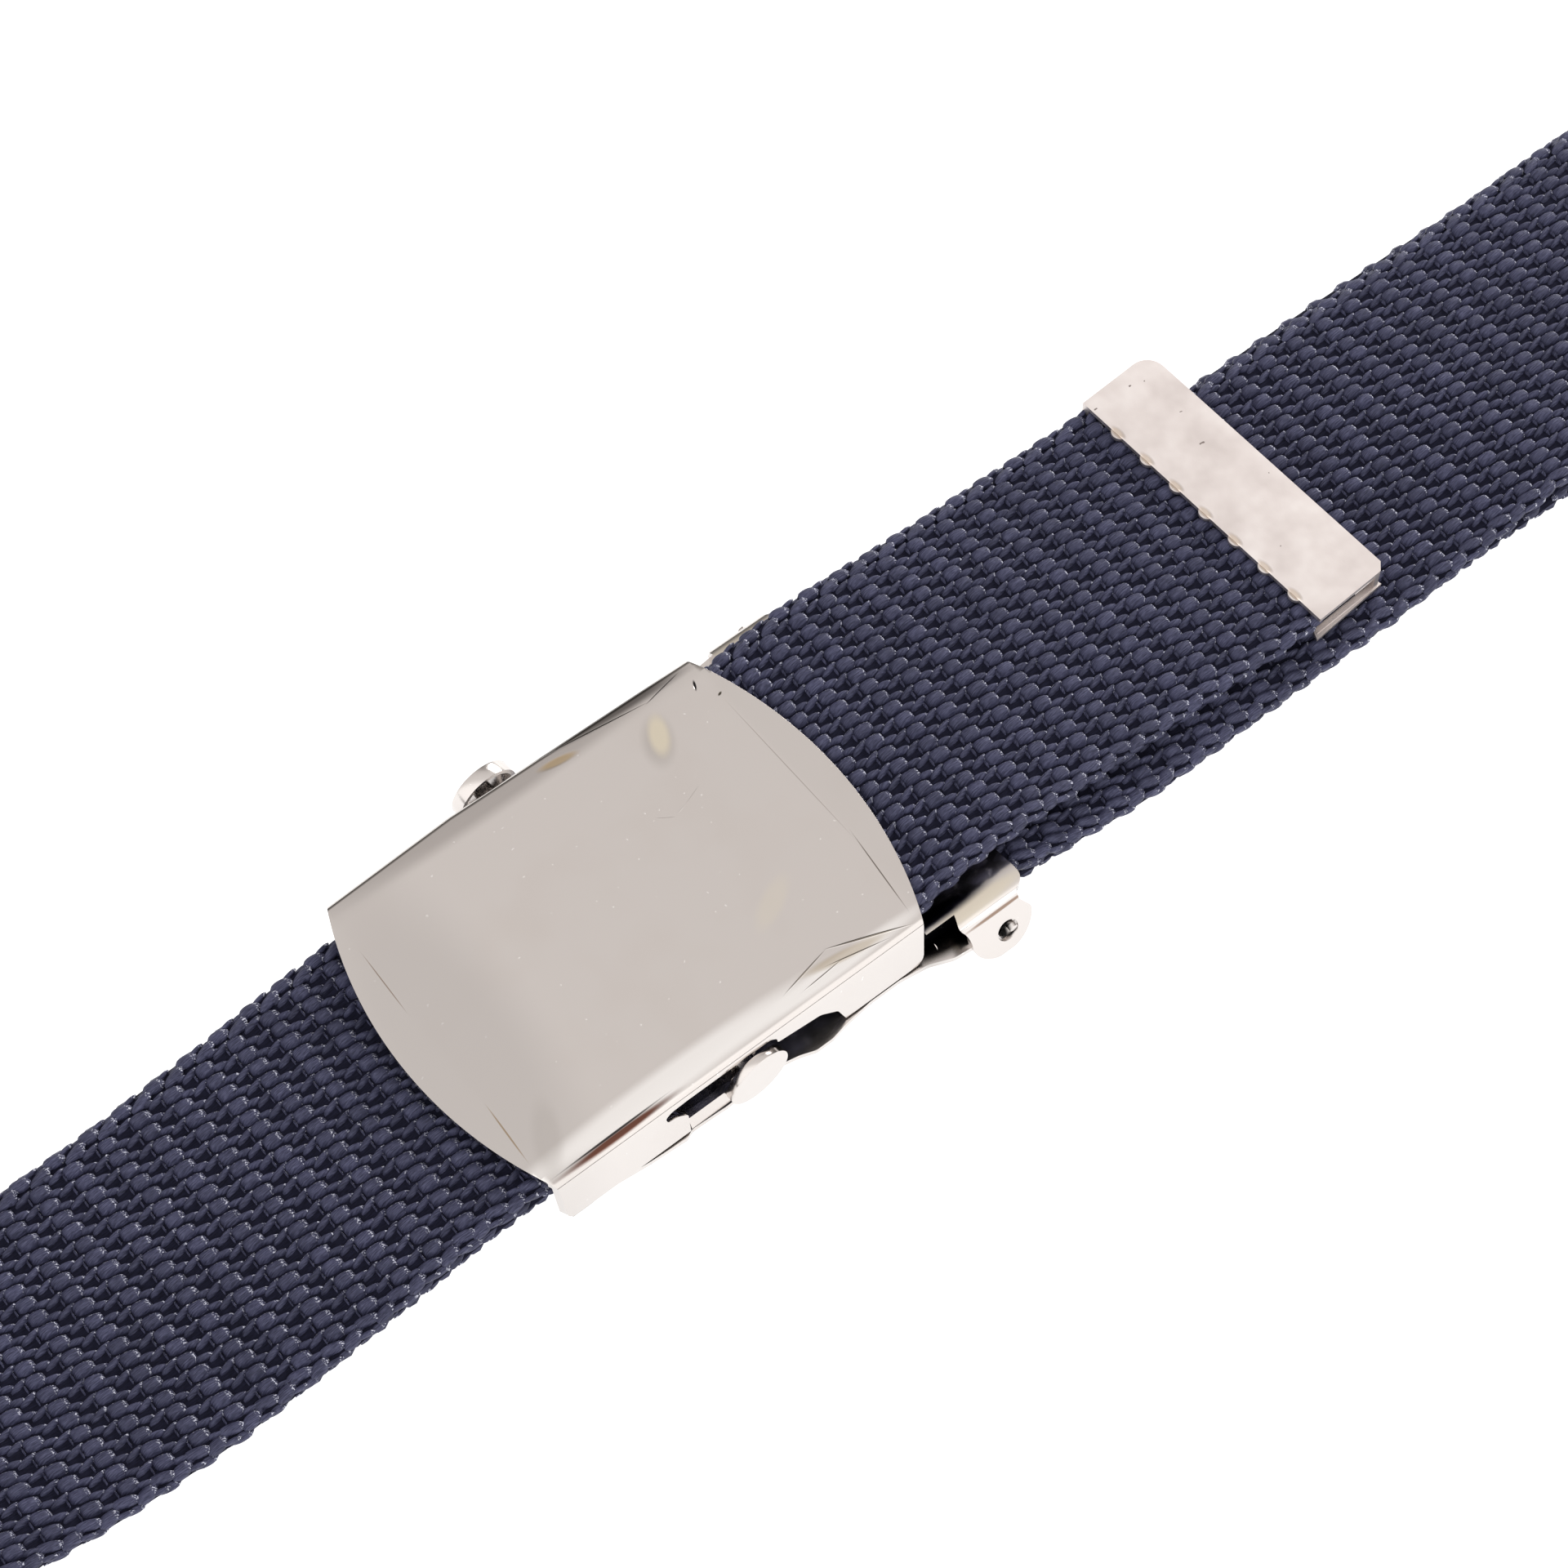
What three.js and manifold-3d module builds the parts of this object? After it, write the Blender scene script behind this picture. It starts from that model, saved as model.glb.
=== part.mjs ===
// Canvas web belt with a slide buckle, fastened and lying flattened on a surface, face up.
// Millimetres. +X runs along the belt towards the tail tip, +Y across it, +Z up from the surface.
// One strap makes the whole loop: from its end in the clamp to the right, round, back below, round
// again, through the buckle case and out over the clamp as the tail, which ends in the metal tip.
import * as THREE from "three";
import { mergeVertices } from "three/addons/utils/BufferGeometryUtils.js";
import Module from "manifold-3d";

const wasm = await Module();
wasm.setup();

// Webbing
const webWidth = 38;
const webThickness = 2.2;
const edgeRound = 0.7; // how far the woven edge is rounded in from the full width
const foldedLength = 500; // from the outside of one end fold to the other
const foldRadius = 10; // centre line of the fold at each end
const foldRise = 52; // length over which the upper layer climbs into the fold
const strapCrown = 0.5; // the upper layer bows up in the middle by this where it lies on the lower
const clearance = 0.3; // gap kept between pieces and between layers

// Buckle case
const sheet = 0.8;
const caseLength = 48;
const sidePlay = 0.5; // room for the webbing between it and each side wall
const caseBulge = 4.5; // how far each curved end of the face runs past the side walls
const wallHeight = 7.9;
const wallFlare = 0.7; // how far the foot of a side wall stands out from its top
const faceRound = 1.1; // outside radius along the folded long edges
const lipWidth = 1.6; // turned-in lip along the foot of a side wall
const lipLength = 7;
const footGap = 0.9; // between the base and the layer of webbing below the buckle

// Base channel
const buckleDepth = 9; // from the face down to the underside of the base
const baseSide = 2.3; // height of the side walls of the base, left of the slide bar
const baseSideLow = 1.2; // and further right
const baseSideStep = -7.5; // where the side walls begin to drop
const baseStart = -16.3;
const baseReach = 10.6; // the base runs this far under the jaw
const baseTabReach = 1.3; // side tab that stands out below the second window of the case
const baseTabFrom = 9.2;
const baseTabTo = 15.2;
const lugRadius = 2.1; // round lug of the base, which carries the pin of the clamp

// Slide bar
const barX = -0.2;
const barDepth = 5.35; // below the face
const barRadius = 1.7;
const neckRadius = 1.1;
const headRadius = 3.85;
const headThickness = 0.9;
const headGap = 0.45; // between a side wall and the inside of a head
const barShift = 0.5; // the bar sits a little towards the far side
const barSkew = 3.2; // degrees, the bar lies slightly askew in its slot
const farStandoff = 1.6; // the far head stands out further from its wall than the near one

// Clamp
const jawGap = 1.2; // from the end of the side walls to the jaw
const jawLength = 12;
const jawOverhang = 1.9; // how far the jaw stands out past each side wall of the case
const jawFoldRadius = 1.2;
const earSetback = 3.5; // from the jaw's edge at the case to the ear
const earWidth = 8.2;
const earLength = 6.7;
const earFlare = 20; // degrees from upright
const pinSetback = 8.2;
const pinDrop = 4.3; // from the top of the jaw down to the pin
const pinRadius = 1.0;
const pinHeadRadius = 1.6;
const pinHead = 0.4;

// Metal tip
const tailTip = 91.6; // where the tail ends, measured from the middle of the case
const tipLength = 9.6;
const tipSheet = 0.6;
const tipSkew = 3; // degrees, the tip was crimped on slightly askew
const tipDrift = 1.5; // the tail has drifted this far towards the far side at its tip
const tipCorner = 2.2;
const tipBite = 0.45; // depth of the crimp teeth along the inner edge
const tipBites = 6;
const crimpedThickness = 1.8; // webbing squeezed inside the tip

// Widths and heights that follow from the strap and the stack of pieces
const caseWidth = webWidth + 2 * (sidePlay + sheet);
const jawHalfWidth = caseWidth / 2 + jawOverhang;
const tipWidth = webWidth;
const bottomLayer = webThickness / 2;
const upperLayer = webThickness * 1.5 + clearance;
const baseBottom = webThickness + footGap;
const faceTop = baseBottom + buckleDepth;
const floorTop = baseBottom + sheet;
const clampLayer = floorTop + clearance + webThickness / 2;
const jawTop = clampLayer + webThickness / 2 + clearance + sheet;
const barHeight = faceTop - barDepth;
const slideLayer = barHeight + barRadius + clearance + webThickness / 2;
const tipHalfHeight = crimpedThickness / 2 + clearance + tipSheet;
const tipLayer = upperLayer + strapCrown + webThickness / 2 + clearance + tipHalfHeight;
const pinHeight = jawTop - pinDrop;
const caseHalf = caseLength / 2;
const jawFrom = caseHalf + jawGap;
const jawTo = jawFrom + jawLength;
const earFrom = jawFrom + earSetback;
const earTo = earFrom + earWidth;
const pinX = jawFrom + pinSetback;
const baseEnd = jawFrom + baseReach;
const foldCentre = foldedLength / 2 - foldRadius - webThickness / 2;
const riseStart = foldCentre - foldRise;

const nickel = { color: 0xd9d2cc, metalness: 1, roughness: 0.18 };
const satinNickel = { color: 0xdcd0c9, metalness: 1, roughness: 0.38 };
const navy = { color: 0x2b2d45, metalness: 0, roughness: 0.85 };

// Geometry and solids

function toSolid(geometry) {
  const bare = geometry.index ? geometry.toNonIndexed() : geometry.clone();
  bare.deleteAttribute("normal");
  bare.deleteAttribute("uv");
  const merged = mergeVertices(bare, 1e-4);
  return new wasm.Manifold(
    new wasm.Mesh({
      numProp: 3,
      vertProperties: merged.attributes.position.array,
      triVerts: new Uint32Array(merged.index.array),
    }),
  );
}

function toMesh(name, solid, look) {
  const data = solid.getMesh();
  const geometry = new THREE.BufferGeometry();
  geometry.setAttribute("position", new THREE.BufferAttribute(data.vertProperties, 3));
  geometry.setIndex(new THREE.BufferAttribute(data.triVerts, 1));
  geometry.computeVertexNormals();
  const mesh = new THREE.Mesh(geometry, new THREE.MeshStandardMaterial(look));
  mesh.name = name;
  return mesh;
}

// A closed outline of [a, b] points extruded between two levels: "x", "y" or "z" is the direction
// of the extrusion, and the outline lies in the other two axes, in the order of the alphabet.
function prism(points, direction, from, to, curveSegments = 10) {
  const shape = points instanceof THREE.Shape ? points : new THREE.Shape(
    points.map(([a, b]) => new THREE.Vector2(a, b)),
  );
  const options = { depth: to - from, bevelEnabled: false, curveSegments };
  const geometry = new THREE.ExtrudeGeometry(shape, options);
  if (direction === "z") geometry.translate(0, 0, from);
  if (direction === "x") {
    geometry.rotateX(Math.PI / 2).rotateZ(Math.PI / 2);
    geometry.translate(from, 0, 0);
  }
  if (direction === "y") {
    geometry.rotateX(Math.PI / 2);
    geometry.translate(0, to, 0);
  }
  return toSolid(geometry);
}

function box(x0, x1, y0, y1, z0, z1) {
  const geometry = new THREE.BoxGeometry(x1 - x0, y1 - y0, z1 - z0);
  geometry.translate((x0 + x1) / 2, (y0 + y1) / 2, (z0 + z1) / 2);
  return toSolid(geometry);
}

// A round bar along Y.
function barAlongY(radius, x, z, y0, y1, sides = 24) {
  const geometry = new THREE.CylinderGeometry(radius, radius, y1 - y0, sides);
  geometry.translate(x, (y0 + y1) / 2, z);
  return toSolid(geometry);
}

function joined(solids) {
  return solids.reduce((sum, next) => sum.add(next));
}

function bothSides(solid) {
  return solid.add(solid.mirror([0, 1, 0]));
}

// Webbing: rings of points swept along its centre line

const along = (from, to, share) => from + (to - from) * share;
const smooth = (share) => share * share * (3 - 2 * share);

// One stretch of the strap as rows of x, z (centre line), y, roll in degrees (positive lifts the
// far edge), crown (how far the edges hang below the middle), width and thickness.
const plainRow = { y: 0, roll: 0, crown: 0, width: webWidth, thick: webThickness };

const lift = (degrees) => (Math.sin((Math.abs(degrees) * Math.PI) / 180) * webWidth) / 2;
const twist = -8; // the strap lies with its near edge a little up on both sides of the buckle

const fixedStrand = [
  { x: caseHalf - 1.5, z: clampLayer, y: 0.1 },
  { x: jawTo - 4, z: clampLayer, y: -0.3 },
  { x: jawTo + 1.5, z: clampLayer, y: -0.7 },
  { x: jawTo + 9, z: along(clampLayer, upperLayer, 0.45), y: -1.5, crown: 0.3 },
  { x: jawTo + 20, z: upperLayer + strapCrown, y: -2.1, crown: strapCrown },
  { x: tailTip - tipLength - 2, z: upperLayer + strapCrown, y: -2.1, crown: strapCrown },
  { x: tailTip + 1, z: upperLayer + lift(1), y: -2.3, roll: -1, crown: 0.3 },
  { x: tailTip + 13, z: upperLayer + lift(4), y: -2.6, roll: -4 },
  { x: foldedLength * 0.24, z: upperLayer + lift(twist), y: -2.8, roll: twist },
  { x: foldedLength * 0.3, z: upperLayer + lift(twist), y: -2.6, roll: twist },
  { x: riseStart - 4, z: upperLayer + 0.1, y: -0.9 },
];

const frontStrand = [
  { x: -riseStart + 4, z: upperLayer, y: 0.6 },
  { x: -foldedLength * 0.26, z: upperLayer + lift(twist / 2), y: 0.4, roll: twist / 2 },
  { x: -foldedLength * 0.185, z: upperLayer + lift(twist), y: -0.3, roll: twist },
  { x: -foldedLength * 0.155, z: upperLayer + lift(3), y: -0.6, roll: -3 },
  { x: -foldedLength * 0.13, z: upperLayer + lift(1) + 0.2, y: -0.6, roll: -1 },
  { x: -caseHalf - 24, z: along(upperLayer, slideLayer, 0.27), y: -0.35, roll: -2 },
  { x: -caseHalf - 11, z: along(upperLayer, slideLayer, 0.6), y: 0, roll: -3.5 },
  { x: -caseHalf, z: along(upperLayer, slideLayer, 0.78), y: 0.1, roll: -3 },
  { x: -caseHalf / 2, z: along(upperLayer, slideLayer, 0.94), y: 0.1, roll: -1 },
  { x: barX - 3, z: slideLayer, y: 0.1 },
  { x: barX + 3, z: slideLayer, y: 0.1 },
  { x: caseHalf, z: slideLayer, y: 0.2 },
  { x: caseHalf + caseBulge, z: slideLayer, y: 1, crown: 0.2 },
  { x: jawTo, z: slideLayer - 0.1, y: 1.6, crown: 0.5 },
  { x: along(jawTo, tailTip, 0.15), z: along(slideLayer, tipLayer, 0.16), y: 1.7, crown: 1 },
  { x: along(jawTo, tailTip, 0.34), z: along(slideLayer, tipLayer, 0.42), y: 1.9, crown: 1.8 },
  { x: along(jawTo, tailTip, 0.55), z: along(slideLayer, tipLayer, 0.7), y: 1.9, crown: 1.8 },
  { x: tailTip - tipLength - 5, z: along(slideLayer, tipLayer, 0.93), y: 1.5, crown: 0.9 },
];

// The lower layer lies on the surface and drifts a little sideways, as a strap laid down does.
const lowerDrift = [
  { x: foldCentre, y: -0.6 },
  { x: foldedLength * 0.3, y: -1.8 },
  { x: foldedLength * 0.2, y: -1.1 },
  { x: foldedLength * 0.13, y: -1.2 },
  { x: foldedLength * 0.08, y: 0.1 },
  { x: foldedLength * 0.03, y: 1.4 },
  { x: -foldedLength * 0.05, y: 2.4 },
  { x: -foldedLength * 0.09, y: 1.4 },
  { x: -foldedLength * 0.125, y: 0.7 },
  { x: -foldedLength * 0.155, y: 1.2 },
  { x: -foldedLength * 0.18, y: 2.3 },
  { x: -foldedLength * 0.24, y: 2.3 },
  { x: -foldedLength * 0.34, y: 0.9 },
  { x: -foldCentre, y: 0.4 },
];

// Rows between the rows of a table, on one smooth curve through each column.
function refined(rows, step) {
  const full = rows.map((row) => ({ ...plainRow, z: bottomLayer, ...row }));
  const keys = Object.keys(full[0]);
  const slope = (i, key) => {
    if (i <= 0 || i >= full.length - 1) return 0;
    const before = (full[i][key] - full[i - 1][key]) / (full[i].x - full[i - 1].x);
    const after = (full[i + 1][key] - full[i][key]) / (full[i + 1].x - full[i].x);
    return before * after <= 0 ? 0 : (2 * before * after) / (before + after);
  };
  const out = [];
  for (let i = 0; i < full.length - 1; i += 1) {
    const span = full[i + 1].x - full[i].x;
    const pieces = Math.max(1, Math.round(Math.abs(span) / step));
    for (let k = 0; k < pieces; k += 1) {
      const t = k / pieces;
      const row = {};
      for (const key of keys) {
        const rise = t * t * (3 - 2 * t);
        const bend = (t * (1 - t) * (1 - t)) * slope(i, key) * span;
        const bendBack = (t * t * (1 - t)) * slope(i + 1, key) * span;
        row[key] = along(full[i][key], full[i + 1][key], rise) + bend - bendBack;
      }
      row.x = along(full[i].x, full[i + 1].x, t);
      out.push(row);
    }
  }
  out.push(full[full.length - 1]);
  return out;
}

// The climb of the upper layer and the round turn at one end; side is 1 at the right, -1 at the left.
function endFold(side, yUpper, yLower) {
  const top = bottomLayer + 2 * foldRadius;
  const rows = [];
  const climbSteps = 9;
  for (let i = 0; i < climbSteps; i += 1) {
    const t = i / climbSteps;
    rows.push({ x: side * along(riseStart, foldCentre, t), z: along(upperLayer, top, smooth(t)), y: yUpper });
  }
  const turnSteps = 12;
  for (let i = 0; i <= turnSteps; i += 1) {
    const angle = (Math.PI * i) / turnSteps;
    rows.push({
      x: side * (foldCentre + foldRadius * Math.sin(angle)),
      z: bottomLayer + foldRadius * (1 + Math.cos(angle)),
      y: along(yUpper, yLower, smooth(i / turnSteps)),
    });
  }
  return rows.map((row) => ({ ...plainRow, ...row }));
}

// Tail end inside the metal tip, turned with the tip.
function tipRows() {
  const width = tipWidth - 2 * (tipSheet + clearance + 0.1);
  const turn = Math.sin((tipSkew * Math.PI) / 180);
  const row = (fromMiddle) => ({
    ...plainRow, x: tailTip - tipLength / 2 + fromMiddle, y: tipDrift + fromMiddle * turn,
    z: tipLayer, width, thick: crimpedThickness, skew: tipSkew,
  });
  return [row(-tipLength / 2 - 1.2), row(tipLength / 2 - tipSheet - tipCorner)];
}

function strapRows() {
  const right = endFold(1, -0.8, lowerDrift[0].y);
  const left = endFold(-1, 0.5, lowerDrift[lowerDrift.length - 1].y).reverse();
  return [
    ...refined(fixedStrand, 7),
    ...right,
    ...refined(lowerDrift, 20).slice(1, -1),
    ...left,
    ...refined(frontStrand, 7),
    ...tipRows(),
  ];
}

// Across the strap: place as a share of the half width, and whether it is on the top or the bottom.
const acrossShares = [-1, -0.62, -0.22, 0.22, 0.62, 1];

function ringOf(row, forward) {
  const up = new THREE.Vector3(-forward.z, 0, forward.x);
  const roll = (row.roll * Math.PI) / 180;
  const skew = ((row.skew || 0) * Math.PI) / 180;
  const half = row.width / 2;
  const centre = new THREE.Vector3(row.x, row.y, row.z);
  const place = (v, w) => {
    const drop = (row.crown * v * v) / (half * half);
    const point = centre.clone();
    point.addScaledVector(forward, -v * Math.sin(skew));
    point.y += v * Math.cos(roll) * Math.cos(skew);
    point.z += v * Math.sin(roll);
    return point.addScaledVector(up, w - drop);
  };
  const thick = row.thick / 2;
  const flat = half - edgeRound;
  const ring = acrossShares.map((share) => place(share * flat, -thick));
  ring.push(place(half, -thick * 0.35), place(half, thick * 0.35));
  ring.push(...acrossShares.map((share) => place(-share * flat, thick)));
  ring.push(place(-half, thick * 0.35), place(-half, -thick * 0.35));
  return ring;
}

function sweep(rows) {
  const rings = rows.map((row, i) => {
    const before = rows[Math.max(0, i - 1)];
    const after = rows[Math.min(rows.length - 1, i + 1)];
    const forward = new THREE.Vector3(after.x - before.x, 0, after.z - before.z).normalize();
    return ringOf(row, forward);
  });
  const size = rings[0].length;
  const positions = rings.flat().flatMap((point) => [point.x, point.y, point.z]);
  const index = [];
  for (let i = 0; i < rings.length - 1; i += 1) {
    for (let k = 0; k < size; k += 1) {
      const a = i * size + k;
      const b = i * size + ((k + 1) % size);
      index.push(a, b, a + size, b, b + size, a + size);
    }
  }
  const last = (rings.length - 1) * size;
  for (let k = 1; k < size - 1; k += 1) {
    index.push(0, k + 1, k);
    index.push(last, last + k, last + k + 1);
  }
  const geometry = new THREE.BufferGeometry();
  geometry.setAttribute("position", new THREE.Float32BufferAttribute(positions, 3));
  geometry.setIndex(index);
  return geometry;
}

function webbing() {
  return toMesh("webbing", toSolid(sweep(strapRows())), navy);
}

// Buckle case: a face with curved ends and two side walls folded down, with their windows

function channelSection(inset) {
  const top = caseWidth / 2 - inset;
  const foot = caseWidth / 2 + wallFlare - inset;
  const zTop = faceTop - inset;
  const zFoot = inset > 0 ? faceTop - wallHeight - 5 : faceTop - wallHeight;
  const footAt = top + ((foot - top) * (zTop - zFoot)) / wallHeight;
  const round = Math.max(0.2, faceRound - inset);
  const points = [[-footAt, zFoot], [footAt, zFoot]];
  const turns = 4;
  for (let i = 0; i <= turns; i += 1) {
    const angle = (Math.PI / 2) * (i / turns);
    points.push([top - round + round * Math.cos(angle), zTop - round + round * Math.sin(angle)]);
  }
  for (let i = 0; i <= turns; i += 1) {
    const angle = (Math.PI / 2) * (1 + i / turns);
    points.push([-top + round + round * Math.cos(angle), zTop - round + round * Math.sin(angle)]);
  }
  return points;
}

function casePlan() {
  const half = caseWidth / 2;
  const wide = half + wallFlare + 2;
  const radius = (half * half + caseBulge * caseBulge) / (2 * caseBulge);
  const reach = Math.asin(half / radius);
  const centre = caseHalf + caseBulge - radius;
  const steps = 14;
  const end = (side) => Array.from({ length: steps + 1 }, (_, i) => {
    const angle = side * along(-reach, reach, i / steps);
    return [side * (centre + radius * Math.cos(angle)), radius * Math.sin(angle)];
  });
  return [[-caseHalf, -wide], [caseHalf, -wide], ...end(1), [caseHalf, wide], [-caseHalf, wide], ...end(-1)];
}

// Windows in each side wall, as x and depth below the face: the slot of the slide bar, which is
// open at the foot, and the lower window to its right.
const slotWindow = [
  [-10.4, 1.9], [-9.6, 1.35], [-7.6, 1.2], [3.4, 1.2], [4.2, 1.9], [4.2, 2.7], [9.9, 3.5],
  [12.1, 5.2], [13.8, 10], [-7.7, 10], [-7.7, 4.2], [-8.8, 3.2], [-10.2, 2.9],
];

function buckleCase() {
  const reach = caseHalf + caseBulge + 1;
  const shell = prism(channelSection(0), "x", -reach, reach)
    .subtract(prism(channelSection(sheet), "x", -reach - 1, reach + 1))
    .intersect(prism(casePlan(), "z", faceTop - wallHeight - 1, faceTop + 1));
  const outer = caseWidth / 2 + wallFlare;
  const foot = faceTop - wallHeight;
  const window = slotWindow.map(([x, depth]) => [x, faceTop - depth]);
  const cut = prism(window, "y", caseWidth / 2 - 3, outer + 3);
  const lipFrom = -caseHalf;
  const lip = box(lipFrom, lipFrom + lipLength, outer - lipWidth, outer - sheet / 2, foot, foot + sheet);
  return toMesh("buckle_case", shell.subtract(bothSides(cut)).add(bothSides(lip)), nickel);
}

// Base: a floor with low side walls inside the case, whose lugs carry the clamp at its right end

function baseChannel() {
  const half = caseWidth / 2 - sheet - clearance;
  const lugOutside = jawHalfWidth - sheet;
  const floor = box(baseStart, baseEnd, -half, half, baseBottom, floorTop);
  const sideOutline = [
    [baseStart, baseBottom], [baseTabTo, baseBottom], [baseTabTo, baseBottom + baseSideLow],
    [baseSideStep + 5, baseBottom + baseSideLow], [baseSideStep, baseBottom + baseSide],
    [baseStart, baseBottom + baseSide],
  ];
  const side = prism(sideOutline, "y", half - sheet, half + clearance / 2);
  const tab = prism(
    [
      [baseTabFrom - 1.6, half - 0.4], [baseTabTo + 1.6, half - 0.4],
      [baseTabTo, half + baseTabReach], [baseTabFrom, half + baseTabReach],
    ],
    "z", baseBottom, floorTop,
  );
  const wing = prism(
    [
      [caseHalf - 2, half - 1], [baseEnd, half - 1], [baseEnd, lugOutside],
      [earFrom - 1, lugOutside], [caseHalf - 2, half],
    ],
    "z", baseBottom, floorTop,
  );
  const lug = barAlongY(lugRadius, pinX, pinHeight, lugOutside - sheet, lugOutside);
  const bore = barAlongY(pinRadius + clearance, pinX, pinHeight, half, lugOutside + 1);
  const headBore = barAlongY(pinHeadRadius + clearance, pinX, pinHeight, half, lugOutside - sheet);
  const sides = joined([side, tab, wing, lug]).subtract(bore.add(headBore));
  return toMesh("base_channel", floor.add(bothSides(sides)), nickel);
}

// Slide bar with a flat round head at each end

function slideBar() {
  const wallAtBar = caseWidth / 2 + (wallFlare * barDepth) / wallHeight;
  const neckEnd = wallAtBar + headGap;
  const headEnd = neckEnd + headThickness;
  const inner = caseWidth / 2 - sheet - clearance;
  const bar = joined([
    barAlongY(barRadius, 0, barHeight, -inner + barShift, inner - barShift),
    barAlongY(neckRadius, 0, barHeight, -headEnd + 0.2, headEnd + farStandoff - 0.2, 16),
    barAlongY(headRadius, 0, barHeight, neckEnd + farStandoff, headEnd + farStandoff, 32),
    barAlongY(headRadius, 0, barHeight, -headEnd, -neckEnd, 32),
  ]);
  return toMesh("slide_bar", bar.rotate([0, 0, barSkew]).translate([barX, barShift, 0]), nickel);
}

// Clamp jaw: a plate over the strap's end, folded down at both sides into flared round ears

function clampJaw() {
  const fold = jawHalfWidth - jawFoldRadius;
  const turns = 4;
  const flare = (earFlare * Math.PI) / 180;
  const section = (inset) => {
    const points = [];
    const radius = jawFoldRadius - inset;
    for (let i = 0; i <= turns; i += 1) {
      const angle = Math.PI / 2 - (Math.PI / 2 - flare) * (i / turns);
      points.push([
        fold + radius * Math.cos(angle),
        jawTop - jawFoldRadius + radius * Math.sin(angle),
      ]);
    }
    const [y, z] = points[points.length - 1];
    points.push([y + earLength * Math.sin(flare), z - earLength * Math.cos(flare)]);
    return points;
  };
  const outer = section(0);
  const inner = section(sheet);
  const halfSection = [[0, jawTop - sheet], ...inner, ...outer.reverse(), [0, jawTop]];
  const bent = prism(halfSection, "x", jawFrom, jawTo);
  const low = jawTop - earLength * 2;
  const earSide = new THREE.Shape();
  const earCentre = (earFrom + earTo) / 2;
  const earRadius = (earTo - earFrom) / 2;
  const earFoot = jawTop - sheet - jawFoldRadius - earLength * Math.cos(flare) + 0.3;
  const skirt = 1.7;
  earSide.moveTo(jawFrom - 1, jawTop + 1);
  earSide.lineTo(jawFrom - 1, jawTop - skirt - 0.5);
  earSide.lineTo(jawFrom + 0.7, jawTop - skirt - 0.5);
  earSide.absarc(jawFrom + 2.1, jawTop - skirt - 0.5, 1.4, Math.PI, 0, true);
  earSide.lineTo(earFrom, earFoot + earRadius);
  earSide.absarc(earCentre, earFoot + earRadius, earRadius, Math.PI, 2 * Math.PI, false);
  earSide.lineTo(earTo, jawTop - 1.6);
  earSide.lineTo(earTo - 0.9, jawTop - 1.2);
  earSide.lineTo(jawTo + 1, jawTop - 0.9);
  earSide.lineTo(jawTo + 1, jawTop + 1);
  const keep = prism(earSide, "y", -1, jawHalfWidth + 6, 8);
  const hole = barAlongY(pinRadius + clearance, pinX, pinHeight, jawHalfWidth - 3, jawHalfWidth + 6, 20);
  const corner = 2.5;
  const plan = [
    [jawFrom, -1], [jawTo, -1], [jawTo, jawHalfWidth - corner], [jawTo - 0.6, jawHalfWidth - 0.8],
    [jawTo - 0.6, jawHalfWidth + 6], [jawFrom, jawHalfWidth + 6],
  ];
  const rounded = prism(plan, "z", low - 2, jawTop + 1);
  const halfJaw = bent.intersect(keep).intersect(rounded).subtract(hole);
  return toMesh("clamp_jaw", bothSides(halfJaw), nickel);
}

// A short rivet at each side, through an ear of the jaw and a lug of the base
function clampPin(name, side) {
  const flare = (earFlare * Math.PI) / 180;
  const headOut = jawHalfWidth - 2 * sheet - clearance;
  const reach = jawHalfWidth + pinDrop * Math.tan(flare) - sheet / 2;
  const rivet = joined([
    barAlongY(pinRadius, pinX, pinHeight, headOut - pinHead / 2, reach, 16),
    barAlongY(pinHeadRadius, pinX, pinHeight, headOut - pinHead, headOut, 16),
  ]);
  return toMesh(name, side > 0 ? rivet : rivet.mirror([0, 1, 0]), nickel);
}

// Metal tip: folded sheet round the tail's end, open towards the buckle, with crimp teeth

function metalTip() {
  const half = tipWidth / 2;
  const tipEnd = tipLength / 2;
  const outline = (inset, from) => {
    const [end, side] = [tipEnd - inset, half - inset];
    return [
      [from, -side], [end - 0.9, -side], [end, -side + 1.2],
      [end, side - tipCorner], [end - tipCorner * 0.35, side - tipCorner * 0.35],
      [end - tipCorner, side], [from, side],
    ];
  };
  const shell = prism(outline(0, -tipEnd), "z", -tipHalfHeight, tipHalfHeight);
  const inside = tipHalfHeight - tipSheet;
  const hollow = prism(outline(tipSheet, -tipEnd - 1), "z", -inside, inside);
  const pitch = (tipWidth - 4) / tipBites;
  const notches = Array.from({ length: tipBites - 1 }, (_, i) => {
    const y = -half + 2 + pitch * (i + 1);
    const wedge = [[-tipEnd - 1, y - pitch * 0.32], [-tipEnd + tipBite, y], [-tipEnd - 1, y + pitch * 0.32]];
    return prism(wedge, "z", -tipHalfHeight - 1, tipHalfHeight + 1);
  });
  const tip = shell.subtract(joined([hollow, ...notches])).rotate([0, 0, tipSkew]);
  return toMesh("metal_tip", tip.translate([tailTip - tipEnd, tipDrift, tipLayer]), satinNickel);
}

const belt = new THREE.Group();
belt.add(webbing(), buckleCase(), baseChannel(), slideBar(), clampJaw());
belt.add(clampPin("clamp_pin_near", -1), clampPin("clamp_pin_far", 1), metalTip());

export default belt;
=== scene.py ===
import math

import bpy
import numpy as np
from mathutils import Matrix, Vector


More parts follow.
